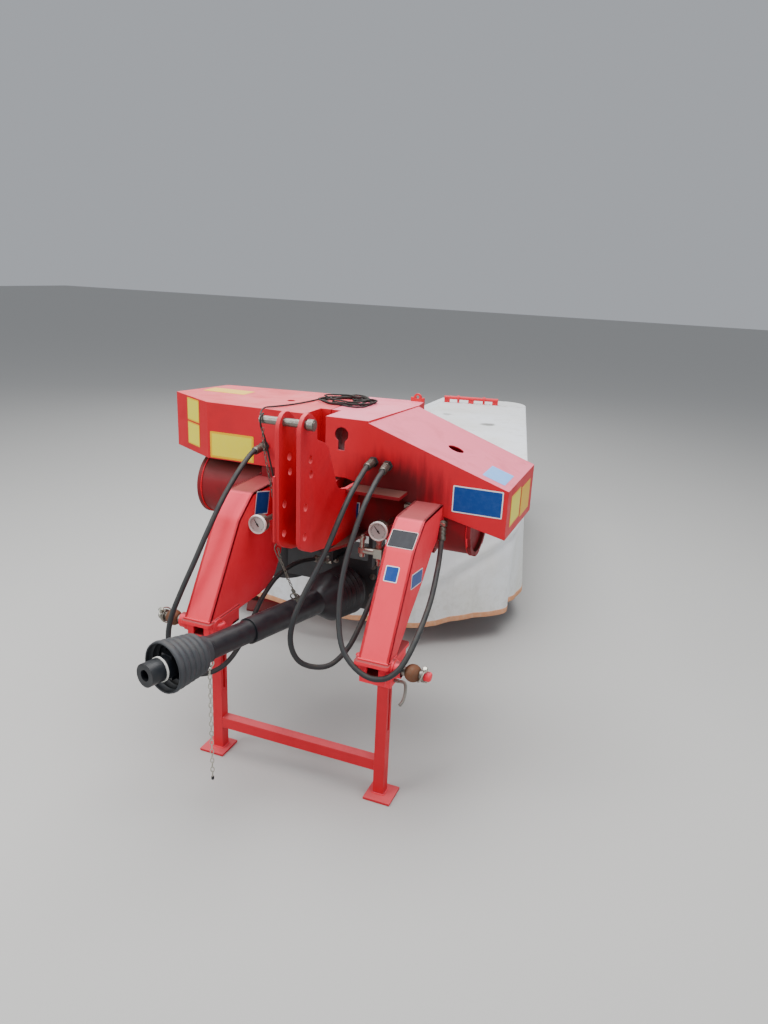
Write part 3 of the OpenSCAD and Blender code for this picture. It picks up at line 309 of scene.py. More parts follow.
def skin(p, close_rows=False, close_cols=False, caps=False):
    """Quads over a grid of points (rows, columns, 3). A closed direction joins its last line to its first, and
    caps shut the first and last row."""
    rows, cols = p.shape[:2]
    i = np.arange(rows if close_rows else rows - 1)[:, None]
    j = np.arange(cols if close_cols else cols - 1)[None, :]
    i2, j2 = (i + 1) % rows, (j + 1) % cols
    quads = np.stack(np.broadcast_arrays(i * cols + j, i * cols + j2, i2 * cols + j2, i2 * cols + j), -1)
    faces = quads.reshape(-1, 4).tolist()
    if caps:
        faces += [list(range(cols))[::-1], list(range((rows - 1) * cols, rows * cols))]
    return p.reshape(-1, 3), faces


def unit(v):
    """Vectors along the last axis, each made 1 long."""
    return v / np.linalg.norm(v, axis=-1, keepdims=True)


def run_along(path):
    """Distance run along a path, 0 at its first point."""
    return np.concatenate([[0], np.cumsum(np.linalg.norm(np.diff(path, axis=0), axis=1))])


def around(count):
    """Angles of a full turn in equal steps, without the last one that would meet the first."""
    return np.linspace(0, 2 * math.pi, count, endpoint=False)


def oblong(x0, y0, x1, y1):
    """Outline of a rectangle between two corners."""
    return [[x0, y0], [x1, y0], [x1, y1], [x0, y1]]


def square_to(axis):
    """Two directions square to an axis and to each other, right-handed with it."""
    axis = unit(np.asarray(axis, float))
    u = unit(np.cross(axis, UP if abs(axis[2]) < 0.9 else RIGHT))
    return u, np.cross(axis, u), axis


def turned(profile, base, axis, sides=32, ring=False):
    """Surface of revolution: base + along * axis + radius * (cos t * u + sin t * v), for a profile of
    [along, radius] pairs. A ring's profile is closed."""
    profile = np.asarray(profile, float)
    u, v, axis = square_to(axis)
    t = around(sides)[:, None]
    spokes = np.cos(t) * u + np.sin(t) * v
    p = np.asarray(base, float) + profile[:, :1, None] * axis + profile[:, 1:, None] * spokes
    return skin(p, close_rows=ring, close_cols=True, caps=not ring)


def bar(path, radius, across, sides=10, closed=False):
    """Round bar along a path: path + radius * (cos t * a + sin t * b), with a square to the path and to the
    direction across, and b square to both."""
    path = np.asarray(path, float)
    ahead = np.roll(path, -1, 0) - np.roll(path, 1, 0)
    if not closed:
        ahead[0], ahead[-1] = path[1] - path[0], path[-1] - path[-2]
    ahead = unit(ahead)
    a = unit(np.cross(ahead, across))
    b = np.cross(ahead, a)
    t = around(sides)[:, None]
    radius = np.broadcast_to(radius, len(path))[:, None, None]
    p = path[:, None] + radius * (np.cos(t) * a[:, None] + np.sin(t) * b[:, None])
    return skin(p, close_rows=closed, close_cols=True, caps=not closed)


def slab(outline, middle, u, v, thick):
    """A flat outline of [x, y] pairs given a thickness: middle + x * u + y * v, and the same lifted along u x v."""
    outline = np.asarray(outline, float)
    u, v = np.asarray(u, float), np.asarray(v, float)
    flat = np.asarray(middle, float) + outline[:, :1] * u + outline[:, 1:] * v
    return skin(np.stack([flat, flat + thick * np.cross(u, v)]), close_cols=True, caps=True)


def round_cornered(width, height, radius, steps=5):
    """Outline of a rectangle about its middle, its corners quarter circles."""
    t = np.linspace(0, math.pi / 2, steps)
    corner = radius * np.stack([np.cos(t), np.sin(t)], -1)
    turns = [corner, corner[:, ::-1] * [-1, 1], -corner, corner[:, ::-1] * [1, -1]]
    inner = np.array([width / 2 - radius, height / 2 - radius])
    signs = [[1, 1], [-1, 1], [-1, -1], [1, -1]]
    return np.concatenate([np.array(s) * inner + c for s, c in zip(signs, turns)])


def joined(shapes):
    """Several (points, faces) shapes as one."""
    points, faces, count = [], [], 0
    for p, f in shapes:
        points.append(p)
        faces += [[i + count for i in face] for face in f]
        count += len(p)
    return np.concatenate(points), faces


# Material slot names that go with a finish
SLOT = {"steel": "bare_steel", "zinc": "bare_steel", "dull": "bare_steel", "red": "red_paint", "leg_red": "red_paint",
        "dark_red": "red_paint", "rubber": "black_rubber", "bellows": "black_rubber", "guard": "black_plastic",
        "cord": "black_cord", "cloth": "canopy_cloth", "hem": "canopy_cloth", "dial": "gauge_dial", "ink": "gauge_dial"}


def placed(name, data, finish, body, slot=None):
    """An object whose place is in its data, with its finish, riding a body of the machine."""
    data.materials.append(FINISH[finish])
    obj = bpy.data.objects.new(name, data)
    scene.collection.objects.link(obj)
    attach(obj, body)
    slot = slot or SLOT.get(finish)
    return obj


def piece(name, shape, finish, body="headstock", sharp=35, place=at, slot=None):
    """A mesh piece from (points, faces) in millimetres, with its faces turned outwards and its finish and body set."""
    points, faces = shape
    mesh = bpy.data.meshes.new(name)
    mesh.from_pydata(place(points).tolist(), [], faces)
    shell = bmesh.new()
    shell.from_mesh(mesh)
    bmesh.ops.recalc_face_normals(shell, faces=shell.faces)
    shell.to_mesh(mesh)
    shell.free()
    mesh.polygons.foreach_set("use_smooth", [True] * len(mesh.polygons))
    mesh.set_sharp_from_angle(angle=math.radians(sharp))
    return placed(name, mesh, finish, body, slot)


# Hoses and the control cord, along the CAD routes

def smooth(points, steps=6):
    """A Catmull-Rom curve through given points, each stretch cut into equal steps."""
    p = np.asarray(points, float)
    p = np.concatenate([2 * p[:1] - p[1:2], p, 2 * p[-1:] - p[-2:-1]])
    a, b, c, d = p[:-3, None], p[1:-2, None], p[2:-1, None], p[3:, None]
    t = (np.arange(steps) / steps)[None, :, None]
    curve = 0.5 * (2 * b + (c - a) * t + (2 * a - 5 * b + 4 * c - d) * t ** 2 + (3 * b - a - 3 * c + d) * t ** 3)
    return np.concatenate([curve.reshape(-1, 3), p[-2:-1]])


def cord(name, path, radius, finish):
    """A round cord: a curve along a path in millimetres, with its radius as bevel."""
    data = bpy.data.curves.new(name, "CURVE")
    data.dimensions = "3D"
    data.bevel_depth = radius / 1000
    data.bevel_resolution = 3
    data.use_fill_caps = True
    spline = data.splines.new("POLY")
    spline.points.add(len(path) - 1)
    spline.points.foreach_set("co", np.column_stack([at(path), np.ones(len(path))]).ravel())
    return placed(name, data, finish, "headstock")


HOSE_R = 9
HOSES = {
    "hose_left": [
        [-325, 408, 1062], [-325, 345, 1057], [-324, 275, 1026], [-328, 205, 975], [-334, 140, 913],
        [-344, 70, 826], [-358, 20, 745], [-378, -28, 656], [-398, -64, 568], [-405, -76, 490],
        [-394, -68, 418], [-362, -42, 362], [-316, 2, 342], [-276, 58, 358], [-254, 120, 406],
        [-250, 190, 464], [-250, 270, 528], [-240, 345, 578], [-224, 405, 602], [-206, 460, 613],
        [-182, 508, 613], [-152, 540, 612], [-116, 548, 612]],
    "hose_right_a": [
        [107, 408, 1060], [113, 350, 1057], [119, 290, 1042], [121, 235, 1018], [120, 180, 982],
        [115, 125, 928], [105, 80, 864], [88, 40, 796], [64, -4, 720], [44, -36, 642], [36, -40, 562],
        [50, -16, 492], [86, 24, 456], [130, 68, 454], [164, 130, 496], [182, 196, 568], [196, 262, 652],
        [212, 330, 748], [230, 388, 834], [244, 432, 914]],
    "hose_right_b": [
        [161, 408, 1053], [171, 350, 1049], [178, 290, 1038], [181, 235, 1015], [180, 176, 975],
        [176, 125, 912], [170, 80, 836], [170, 40, 750], [182, 2, 660], [212, -34, 584], [262, -52, 536],
        [318, -56, 514], [366, -46, 520], [400, -26, 550], [420, 14, 598], [428, 80, 650], [428, 160, 706],
        [416, 250, 766], [397, 335, 796], [380, 400, 826], [373, 424, 872]],
}
# Crimped ferrule: a ribbed steel shell pressed on the hose, [along, radius] from the port outwards
FERRULE = [[-14, 9.3], [-14, 12.5], [6, 12.5], [7, 11], [10, 11], [11, 14.5], [18, 14.5], [19, 13.2], [24, 13.2],
           [25, 14.5], [32, 14.5], [33, 13.2], [38, 13.2], [39, 14.5], [50, 14.2], [54, 11.5], [54, 9.3]]
for name, route in HOSES.items():
    path = smooth(route)
    hose = cord(name + "_rubber", path, HOSE_R, "rubber")
    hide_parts(name)
    ends = [(path[0], path[6] - path[0]), (path[-1], path[-7] - path[-1])]
    ferrules = [turned(FERRULE, base, axis, 28, ring=True) for base, axis in ends]
    nuts = [turned([[-12, 9.3], [-12, 15.5], [-11, 16.5], [3, 16.5], [4, 15.5], [4, 9.3]], base, axis, 6, ring=True)
            for base, axis in ends]
    crimps = piece(name + "_ferrules", joined(ferrules + nuts), "dull")

CORD_R = 3
STRAND = [
    [-249, 735, 1203.5], [-252, 690, 1203.5], [-258, 640, 1203.5], [-270, 580, 1203.5], [-290, 520, 1203.5],
    [-312, 470, 1204], [-318, 425, 1207], [-290, 350, 1212], [-240, 255, 1220], [-185, 160, 1234],
    [-140, 90, 1252], [-112, 52, 1264], [-104, 34, 1267], [-102, 19, 1258], [-102, 18, 1240],
    [-104, 30, 1218], [-102, 48, 1180], [-92, 54, 1125], [-76, 52, 1065], [-60, 44, 1014], [-47, 36, 994]]
COIL_MIDDLE = np.array([-130.0, 735.0])


def coil_turns(start, turns, radii, shift, squeeze, height, steps=28):
    """One layer of the loose coil: middle + shift + radius * (cos t, squeeze * sin t), t running clockwise, with the
    radius going evenly from the first to the last value and dented by 0.2 sin 2.37t + 0.1 sin 5.3t of itself."""
    t = np.linspace(0, turns, int(turns * steps), endpoint=False)
    angle = start - 2 * math.pi * t
    radius = np.interp(t, [0, turns], radii) * (1 + np.minimum(t * 2, 1) * (0.2 * np.sin(2.37 * angle + height)
                                                                           + 0.1 * np.sin(5.3 * angle)))
    middle = COIL_MIDDLE + shift
    return np.column_stack([middle[0] + radius * np.cos(angle), middle[1] + squeeze * radius * np.sin(angle),
                            np.full(len(t), height)])


layers = np.concatenate([
    coil_turns(math.pi, 2.9, (112, 70), (-4, 0), 0.94, 1203.4),
    coil_turns(1.2 * math.pi, 2.3, (62, 104), (6, -4), 0.97, 1209.8),
    coil_turns(0.5 * math.pi, 1.4, (96, 66), (-8, 5), 0.9, 1216.2)])
control_path = np.concatenate([smooth(STRAND, 4)[::-1][:-1], layers])
control = cord("control_cord_rope", control_path, CORD_R, "cord")
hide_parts("control_cord", "cord_coil")
# Knot at the free end: a trefoil, x = sin t + 2 sin 2t, y = cos t - 2 cos 2t, z = -sin 3t, with its last turn beside it
knot_t = around(60)
trefoil = np.column_stack([3.1 * (np.sin(knot_t) + 2 * np.sin(2 * knot_t)),
                           3.1 * (np.cos(knot_t) - 2 * np.cos(2 * knot_t)), -3.4 * np.sin(3 * knot_t)])
knot = piece("control_cord_knot", bar(control_path[-1] + trefoil, CORD_R, UP, 8, closed=True), "cord")

# Canopy cloth, worked out in the mowing unit's own millimetres

HALF_W, MIDDLE_X, NEAR_Y, FAR_Y, CORNER_R, BULGE = 750.0, 240.0, 545.0, 2690.0, 150.0, 290.0
ROOF_Z, RIM_Z, HEM_Z, FLAP_Y = 805.6, 800.3, 130.0, 2490.0
NOTCH_HALF, NOTCH_END, NOTCH_LOW = 130.0, 960.0, 380.0
RIBS = [1000.0, 1550.0, 2100.0]
BULGE_R = (HALF_W ** 2 + BULGE ** 2) / (2 * BULGE)
COLUMNS = 440


def arc(centre, radius, start, end, count=60):
    """Points on a circle from one angle to another, counted from +X."""
    t = np.linspace(start, end, count)
    return np.column_stack([centre[0] + radius * np.cos(t), centre[1] + radius * np.sin(t)])


def rim_outline(grow, soften=0.0):
    """The canopy's plan, from the middle of its far edge clockwise: far corners, sides and the bulged near edge,
    moved out by grow, spaced evenly, and smoothed by a Gaussian with that deviation in millimetres."""
    lean = math.asin(HALF_W / BULGE_R)
    bulge_middle = (MIDDLE_X, NEAR_Y - BULGE + BULGE_R)
    half = np.concatenate([
        [[MIDDLE_X, FAR_Y + grow]],
        arc((MIDDLE_X + HALF_W - CORNER_R, FAR_Y - CORNER_R), CORNER_R + grow, math.pi / 2, 0),
        arc((MIDDLE_X + HALF_W, NEAR_Y), grow, 0, lean - math.pi / 2, 8),
        arc(bulge_middle, BULGE_R + grow, lean - math.pi / 2, -math.pi / 2, 120)])
    mirrored = half[::-1][1:] * [-1, 1] + [2 * MIDDLE_X, 0]
    loop = np.concatenate([half, mirrored])
    run = run_along(loop)
    s = np.linspace(0, run[-1], COLUMNS, endpoint=False)
    even = np.column_stack([np.interp(s, run, loop[:, k]) for k in (0, 1)])
    if soften:
        waves = np.fft.rfftfreq(COLUMNS, run[-1] / COLUMNS)[:, None]
        even = np.fft.irfft(np.fft.rfft(even, axis=0) * np.exp(-2 * (math.pi * soften * waves) ** 2), COLUMNS, axis=0)
    return even, s / run[-1]


def drop(x):
    """How far the roof lies lower beside the lift arm: 80 mm up to x = 238, none from x = 398 on."""
    return np.interp(x, [238, 398], [80, 0])


def cloth_points():
    """The whole cloth as a grid. Roof rows run from the middle line to the rim, z = roof - sag between the ribs;
    then a quarter circle over the rim; then curtain rows down to the hem, moved out by folds that grow downwards and,
    by Gaussians, in at the tucked near corner and out on the side behind it."""
    edge, turn = rim_outline(0.5)
    low, _ = rim_outline(0.5, 26.0)
    ahead = np.roll(edge, -1, 0) - np.roll(edge, 1, 0)
    out = unit(np.column_stack([-ahead[:, 1], ahead[:, 0]]))
    foot = np.column_stack([np.full(COLUMNS, MIDDLE_X), np.clip(edge[:, 1], 820, 2300)])
    w = np.linspace(0, 1, 30)[:, None, None]
    roof = foot + (edge - foot) * w
    aside = np.clip(roof[..., 0] - MIDDLE_X, -HALF_W, HALF_W)
    near_edge = NEAR_Y - BULGE + BULGE_R - np.sqrt(BULGE_R ** 2 - aside ** 2)
    bay = np.where(roof[..., 1] < RIBS[0], (roof[..., 1] - near_edge) / (RIBS[0] - near_edge),
                   np.interp(roof[..., 1], RIBS + [FLAP_Y, FAR_Y], [1, 2, 3, 4, 5]))
    across = np.clip((HALF_W - np.abs(roof[..., 0] - MIDDLE_X)) / HALF_W, 0, 1)
    sag = 11 * np.abs(np.sin(math.pi * bay)) ** 1.2 * np.sin(math.pi / 2 * across) ** 0.7
    ripple = 1.4 * np.sin(roof[..., 0] / 61 + roof[..., 1] / 97) * np.sin(roof[..., 1] / 143 + 1) * across
    roof_z = ROOF_Z - drop(roof[..., 0]) - sag + ripple * np.clip(across * 4, 0, 1)
    bend = np.linspace(0, math.pi / 2, 6)[1:, None]
    over = edge + out * 5 * np.sin(bend)[..., None]
    rim_z = RIM_Z - drop(edge[:, 0])
    over_z = rim_z + (ROOF_Z - RIM_Z) * np.cos(bend)
    v = np.linspace(0, 1, 44)[1:, None]
    angle = 2 * math.pi * turn
    waves = (5.0 * np.sin(17 * angle + 1.3 + 0.8 * v) + 3.4 * np.sin(29 * angle + 0.4 - 1.5 * v)
             + 2.0 * np.sin(43 * angle + 2.2 + 2 * v))
    free = np.clip((v - 0.14) / 0.86, 0, 1)
    tuck = 28 * np.exp(-((turn - 0.352) / 0.02) ** 2) - 42 * np.exp(-((turn - 0.387) / 0.006) ** 2)
    folds = 5 + v ** 1.3 * waves - 5 * np.sin(math.pi * v) ** 2 + free ** 0.8 * tuck + diagonal_folds(turn, v, free)
    hem = HEM_Z + 3 * np.sin(11 * angle) + 2 * np.sin(23 * angle + 1) + np.interp(turn, *HEM_SHAPE)
    curtain = edge + (low - edge) * free[..., None] ** 0.8 + out * folds[..., None]
    curtain_z = rim_z - v * (rim_z - hem)
    plan = np.concatenate([roof, over, curtain])
    return np.concatenate([plan, np.concatenate([roof_z, over_z, curtain_z])[..., None]], -1)


# The hem's rise in mm, by share of the way round: the side panel ends higher than the near one, which hangs low
HEM_SHAPE = [[0.2, 0.34, 0.383, 0.3865, 0.389, 0.40, 0.42, 0.436, 0.445, 0.47, 0.49, 0.52, 0.8],
             [0, 12, 26, 22, -10, -6, 6, -6, -26, -30, -12, 2, 0]]
# Creases: [share of the way round at the hem, shift of that share up to the rim, depth in mm, half width]
CREASES = [[0.497, -0.187, 16, 0.007], [0.402, -0.006, 7, 0.004], [0.45, -0.05, 6, 0.005], [0.53, -0.02, 5, 0.005],
           [0.30, 0.02, 5, 0.004], [0.17, -0.02, 6, 0.004], [0.68, 0.02, 6, 0.005], [0.83, -0.015, 6, 0.004]]


def diagonal_folds(turn, v, free):
    """Slanting creases: -depth * exp(-(distance from the slanting line / half width) ^ 2), fading at the frame's rim
    and at the hem."""
    fade = np.sin(math.pi * free) ** 0.5
    total = 0
    for place, slant, depth, width in CREASES:
        off = turn - (place + slant * (1 - v))
        total = total + fade * depth * (0.6 * np.exp(-((off - 1.8 * width) / width) ** 2) - np.exp(-(off / width) ** 2))
    return total


def cut_cloth(keep_low, keep_high):
    """The cloth between two lines across the unit, with the slot for the lift arm cut out. Planes split the grid
    first, so that every cut edge is straight."""
    points, faces = skin(cloth, close_cols=True)
    shell = bmesh.new()
    corners = [shell.verts.new(p) for p in points.tolist()]
    for f in faces:
        shell.faces.new([corners[i] for i in f])
    bmesh.ops.remove_doubles(shell, verts=shell.verts, dist=0.01)
    cuts = [((NOTCH_HALF, 0, 0), (1, 0, 0)), ((-NOTCH_HALF, 0, 0), (1, 0, 0)), ((0, NOTCH_END, 0), (0, 1, 0)),
            ((0, 0, NOTCH_LOW), (0, 0, 1)), ((0, keep_low, 0), (0, 1, 0)), ((0, keep_high, 0), (0, 1, 0))]
    for middle, normal in cuts:
        bmesh.ops.bisect_plane(shell, geom=shell.verts[:] + shell.edges[:] + shell.faces[:], dist=0.001,
                               plane_co=middle, plane_no=normal)
    gone = []
    for face in shell.faces:
        x, y, z = face.calc_center_median()
        in_notch = abs(x) < NOTCH_HALF and y < NOTCH_END and z > NOTCH_LOW
        if in_notch or not keep_low < y < keep_high:
            gone.append(face)
    bmesh.ops.delete(shell, geom=gone, context="FACES")
    bmesh.ops.recalc_face_normals(shell, faces=shell.faces)
    top = max(shell.faces, key=lambda f: f.calc_center_median().z)
    if top.normal.z < 0:
        bmesh.ops.reverse_faces(shell, faces=shell.faces)
    return shell


def cloth_piece(name, body, keep_low, keep_high):
    """A cut of the cloth as a piece 2 mm thick, its outer face on the grid."""
    shell = cut_cloth(keep_low, keep_high)
    mesh = bpy.data.meshes.new(name)
    shell.to_mesh(mesh)
    shell.free()
    co = np.zeros(len(mesh.vertices) * 3)
    mesh.vertices.foreach_get("co", co)
    mesh.vertices.foreach_set("co", parked(co.reshape(-1, 3)).ravel())
    mesh.polygons.foreach_set("use_smooth", [True] * len(mesh.polygons))
    obj = placed(name, mesh, "cloth", body)
    thick = obj.modifiers.new("thickness", "SOLIDIFY")
    thick.thickness = 0.002
    thick.offset = -1
    return obj


def hem_piece(name, body, columns):
    """Webbing folded over the hem: a U-shaped section, 26 mm high and 5 mm thick, carried along the hem's columns."""
    line, above = cloth[-1][columns], cloth[-3][columns]
    ahead = unit(np.gradient(line, axis=0))
    up = unit(above - line)
    out = np.cross(up, ahead)
    section = np.array([[-3.4, 22], [-3.4, -1], [-2, -3], [0.6, -3], [1.8, -1], [1.8, 22], [1.0, 23], [-2.6, 23]])
    p = line[:, None] + section[:, :1] * out[:, None] + section[:, 1:] * up[:, None]
    return piece(name, skin(p, close_cols=True, caps=True), "hem", body, place=parked)


cloth = cloth_points()
canopy = cloth_piece("canopy_cloth", "mowing_unit", 0.0, FLAP_Y - 5)
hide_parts("canopy_cover", "curtain_inner", "curtain_outlet", "curtain_front")
guard_cloth = cloth_piece("guard_cloth", "guard", FLAP_Y + 5, 4000.0)
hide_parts("curtain_outer")
main_columns = np.flatnonzero(cloth[-1, :, 1] < FLAP_Y - 6)
flap_columns = np.flatnonzero(cloth[-1, :, 1] > FLAP_Y + 6)
gap = np.flatnonzero(np.diff(flap_columns) > 1)[0] + 1
canopy_hem = hem_piece("canopy_hem", "mowing_unit", main_columns)
guard_hem = hem_piece("guard_hem", "guard", np.concatenate([flap_columns[gap:], flap_columns[:gap]]))


# Gauges: white bezel, grey dial with marks and a needle. Their glass is left out, as it would hide nothing.

def spoke(degrees):
    """Direction from a dial's middle at an angle, and the one square to it in the dial's plane."""
    a = math.radians(degrees)
    return np.array([math.cos(a), 0, math.sin(a)]), np.array([-math.sin(a), 0, math.cos(a)])


def gauge(name, middle, reading):
    """Bezel ring, dial, 21 marks on a 270 degree arc and a needle, all facing the tractor."""
    toward = [0, -1, 0]
    ring = turned([[-2, 29.5], [6, 29.5], [7.5, 31], [7, 33.5], [4, 34.5], [-2, 34.5]], middle, toward, 48, ring=True)
    piece(name + "_bezel", ring, "bezel", slot="gauge_dial")
    piece(name + "_dial", turned([[-1, 29.6], [2.2, 29.6]], middle, toward, 48), "dial")
    marks = []
    for k, degrees in enumerate(np.linspace(225, -45, 21)):
        length = 5 if k % 5 == 0 else 3
        u, side = spoke(degrees)
        spot = np.add(middle, [0, -2.2, 0]) + u * (26.5 - length / 2)
        marks.append(slab(oblong(-0.6, -length / 2, 0.6, length / 2), spot, -side, u, 0.4))
    u, side = spoke(reading)
    marks.append(slab([[-2.2, -9], [2.2, -9], [0.7, 22], [-0.7, 22]], np.add(middle, [0, -3.4, 0]), -side, u, 0.8))
    marks.append(turned([[2.0, 3.2], [5.0, 3.2]], middle, toward, 20))
    piece(name + "_marks", joined(marks), "ink")


gauge("gauge_left", [-234, 220, 836], 125)
gauge("gauge_right", [186, 300, 856], 130)


# Signs: blank films with a border, each on the face that carries it

def sign(name, middle, u, v, size, field, border, margin):
    """A blank film on a face with directions u and v, its corners rounded, its border showing round the field."""
    u, v = unit(np.array(u, float)), unit(np.array(v, float))
    w, h = size
    piece(name + "_border", slab(round_cornered(w, h, 4), middle, u, v, 0.6), border)
    raised = middle + 0.3 * np.cross(u, v)
    piece(name, slab(round_cornered(w - 2 * margin, h - 2 * margin, 3), raised, u, v, 0.6), field)


sign("sign_left_front", [-467, 429.8, 1041], RIGHT, UP, (188, 100), "lemon", "yellow", 8)
chamfer = [227, -130, 0]
sign("sign_chamfer_high", [-673.8, 487.5, 1150], chamfer, UP, (100, 88), "lemon", "yellow", 5)
sign("sign_chamfer_low", [-673.8, 487.5, 1056], chamfer, UP, (100, 88), "lemon", "yellow", 5)
sign("sign_left_top", [-640, 690, 1200.1], RIGHT, AWAY, (190, 90), "yellow", "yellow", 4)
sign("sign_wing_front", [487, 429.8, 970], RIGHT, UP, (174, 94), "blue", "white", 4)
slope = [528, 0, -180]
sign("sign_wing_top", [526, 541, 1041.9], slope, AWAY, (84, 140), "pale_blue", "pale_blue", 3)
sign("sign_end_near", [590.2, 560, 935], AWAY, UP, (150, 110), "lemon", "yellow", 6)
sign("sign_end_far", [590.2, 730, 925], AWAY, UP, (150, 110), "yellow", "yellow", 6)
# The leg's front climbs in two slopes
low_climb, high_climb = [0, 189, 305], [0, 90, 73]
sign("rating_plate", [316, 182, 886.5], RIGHT, high_climb, (88, 66), "plate", "bezel", 1.5)
sign("sign_leg_front", [310, 110.18, 793.1], RIGHT, low_climb, (46, 52), "blue", "white", 3)
sign("sign_leg_side", [367.1, 193, 758], [0, 109, -12], [0, 12, 109], (108, 50), "blue", "white", 3)
sign("sign_leg_inner", [-266.9, 308, 886], [0, 102, -22], [0, 22, 102], (92, 84), "blue", "white", 3)

# A film wrapped round the front of the cross tube: the tube's radius carried through an arc, between two sides
low, high = [math.asin((edge_z - TUBE_Z) / TUBE_R) for edge_z in (806, 898)]
for part, inset, r, finish in (("_border", 0, TUBE_R + 0.3, "white"), ("", 4, TUBE_R + 0.7, "blue")):
    a = np.linspace(low + inset / TUBE_R, high - inset / TUBE_R, 12)
    front = np.column_stack([TUBE_Y - r * np.cos(a), TUBE_Z + r * np.sin(a)])
    corners = [(-11 + inset, 0), (55 - inset, 0), (55 - inset, 0.4), (-11 + inset, 0.4)]
    shell = np.stack([np.column_stack([np.full(12, x), front + [y, 0]]) for x, y in corners], 1)
    piece("sign_tube_right" + part, skin(shell, close_cols=True, caps=True), finish)

# Legs: boxes welded from plate, their fronts folded twice on the way up to the cross tube

LEG_IN, LEG_OUT, SHEET = 267, 367, 8
LEG_FRONT = [[-34, 560], [155, 865], [245, 938], [474, 944]]
TUBE_SIDE = [[474, 944], [455, 912], [442, 880], [440, 850]]


def folded(line, reach=14, steps=6):
    """A line of [x, y] pairs with each inner corner rounded: (1-t)^2 * before + 2t(1-t) * corner + t^2 * after, from
    a reach before the corner to a reach after it."""
    line = np.asarray(line, float)
    t = np.linspace(0, 1, steps)[:, None]
    parts = [line[:1]]
    for before, corner, after in zip(line[:-2], line[1:-1], line[2:]):
        a, b = corner + reach * unit(before - corner), corner + reach * unit(after - corner)
        parts.append((1 - t) ** 2 * a + 2 * t * (1 - t) * corner + t ** 2 * b)
    return np.concatenate(parts + [line[-1:]])


def sheet_outline(line, thick):
    """Section of a folded sheet: the line, and the same line moved across itself by the thickness, run backwards."""
    ahead = unit(np.gradient(line, axis=0))
    return np.concatenate([line, (line + thick * ahead[:, ::-1] * [1, -1])[::-1]])


def box_leg(side):
    """One leg: folded front, a narrow outer and a deep inner side plate, foot flange, stand socket and pin boss."""
    front = folded(LEG_FRONT)
    deep = np.array(TUBE_SIDE[1:] + [[447, 820], [465, 790], [490, 768], [446, 650], [400, 580], [356, 550], [283, 541],
                                     [159, 541], [-34, 541]])
    narrow = np.array(TUBE_SIDE[1:] + [[391, 827], [334, 796], [257, 726], [145, 646], [40, 560], [30, 541],
                                       [-34, 541]])
    x0 = min(side * LEG_IN, side * LEG_OUT)
    wide = LEG_OUT - LEG_IN
    inner_x, outer_x = (x0, x0 + wide - SHEET)[::side]
    shapes = [slab(sheet_outline(front, SHEET), [x0, 0, 0], AWAY, UP, wide),
              slab(np.concatenate([front, deep]), [inner_x, 0, 0], AWAY, UP, SHEET),
              slab(np.concatenate([front, narrow]), [outer_x, 0, 0], AWAY, UP, SHEET)]
    middle = side * STAND_X
    # Foot flange in two halves round the stand's opening, the notched plate below it, its cheeks and the floor that
    # the socket hangs from
    rim = round_cornered(114, 196, 9)
    for way in (1, -1):
        half = rim[way * rim[:, 0] > 0]
        half = half[np.argsort(half[:, 1])]
        half = np.concatenate([[[0, -98]], half, [[0, 98], [0, 64], [way * 24, 64], [way * 24, 16], [0, 16]]])
        shapes.append(slab(half[::way], [middle, 46, 546], RIGHT, AWAY, 12))
    notched = [[-43, 480], [43, 480], [43, 546], [20, 546], [20, 506], [-20, 506], [-20, 546], [-43, 546]]
    shapes.append(slab(notched, [middle, -24, 0], RIGHT, UP, SHEET))
    for x in (middle - 43, middle + 43 - SHEET):
        shapes.append(slab(oblong(-24, 492, 152, 546), [x, 0, 0], AWAY, UP, SHEET))
    # Socket of four plates round the stand: half its opening, and its wall
    opening, wall = 23.5, 7
    for y in (STAND_Y - opening, STAND_Y + opening + wall):
        shapes.append(slab(oblong(-opening - wall, 424, opening + wall, 500), [middle, y, 0], RIGHT, UP, wall))
    for x in (-opening - wall, opening):
        shapes.append(slab(oblong(STAND_Y - opening, 424, STAND_Y + opening, 500), [middle + x, 0, 0], AWAY, UP, wall))
    for low, high in ((-24, STAND_Y - opening), (STAND_Y + opening, 152)):
        shapes.append(slab(oblong(-43, low, 43, high), [middle, 0, 492], RIGHT, AWAY, SHEET))
    # Boss that carries the hitch pin, and the painted head and flag handle of the pin on the inside
    shapes.append(turned([[0, 22.4], [0, 31], [19, 31], [21, 26], [42, 25.5], [43, 22.4]], [side * 358, 0, HITCH_Z],
                         [side, 0, 0], 40, ring=True))
    shapes.append(turned([[-0.6, 30.6], [13, 30.6], [15, 29], [15.4, 12]], [side * 271.6, 0, HITCH_Z],
                         [-side, 0, 0], 36))
    handle = smooth([[side * 262, 0, 533], [side * 256, 4, 534], [side * 251, 12, 536], [side * 248, 22, 539]])
    shapes.append(bar(handle, np.interp(np.arange(len(handle)), [0, len(handle) - 3, len(handle) - 1], [13, 9, 12]),
                      AWAY, 14))
    return joined(shapes)


# Mast: two plates that widen into shoulders behind, a keeper strip on the left one, shelves and gussets

MAST_IN, MAST_OUT = 30, 43
MAST_HEAD = [[1, 1222], [4, 1244], [13, 1262], [28, 1275], [46, 1281], [66, 1278], [86, 1267], [103, 1252], [111, 1234]]
MAST_REAR = [[113, 1192], [120, 1187], [153, 1176], [177, 1165], [197, 1146], [231, 1083], [268, 1006], [284, 992],
             [320, 980], [360, 973]]


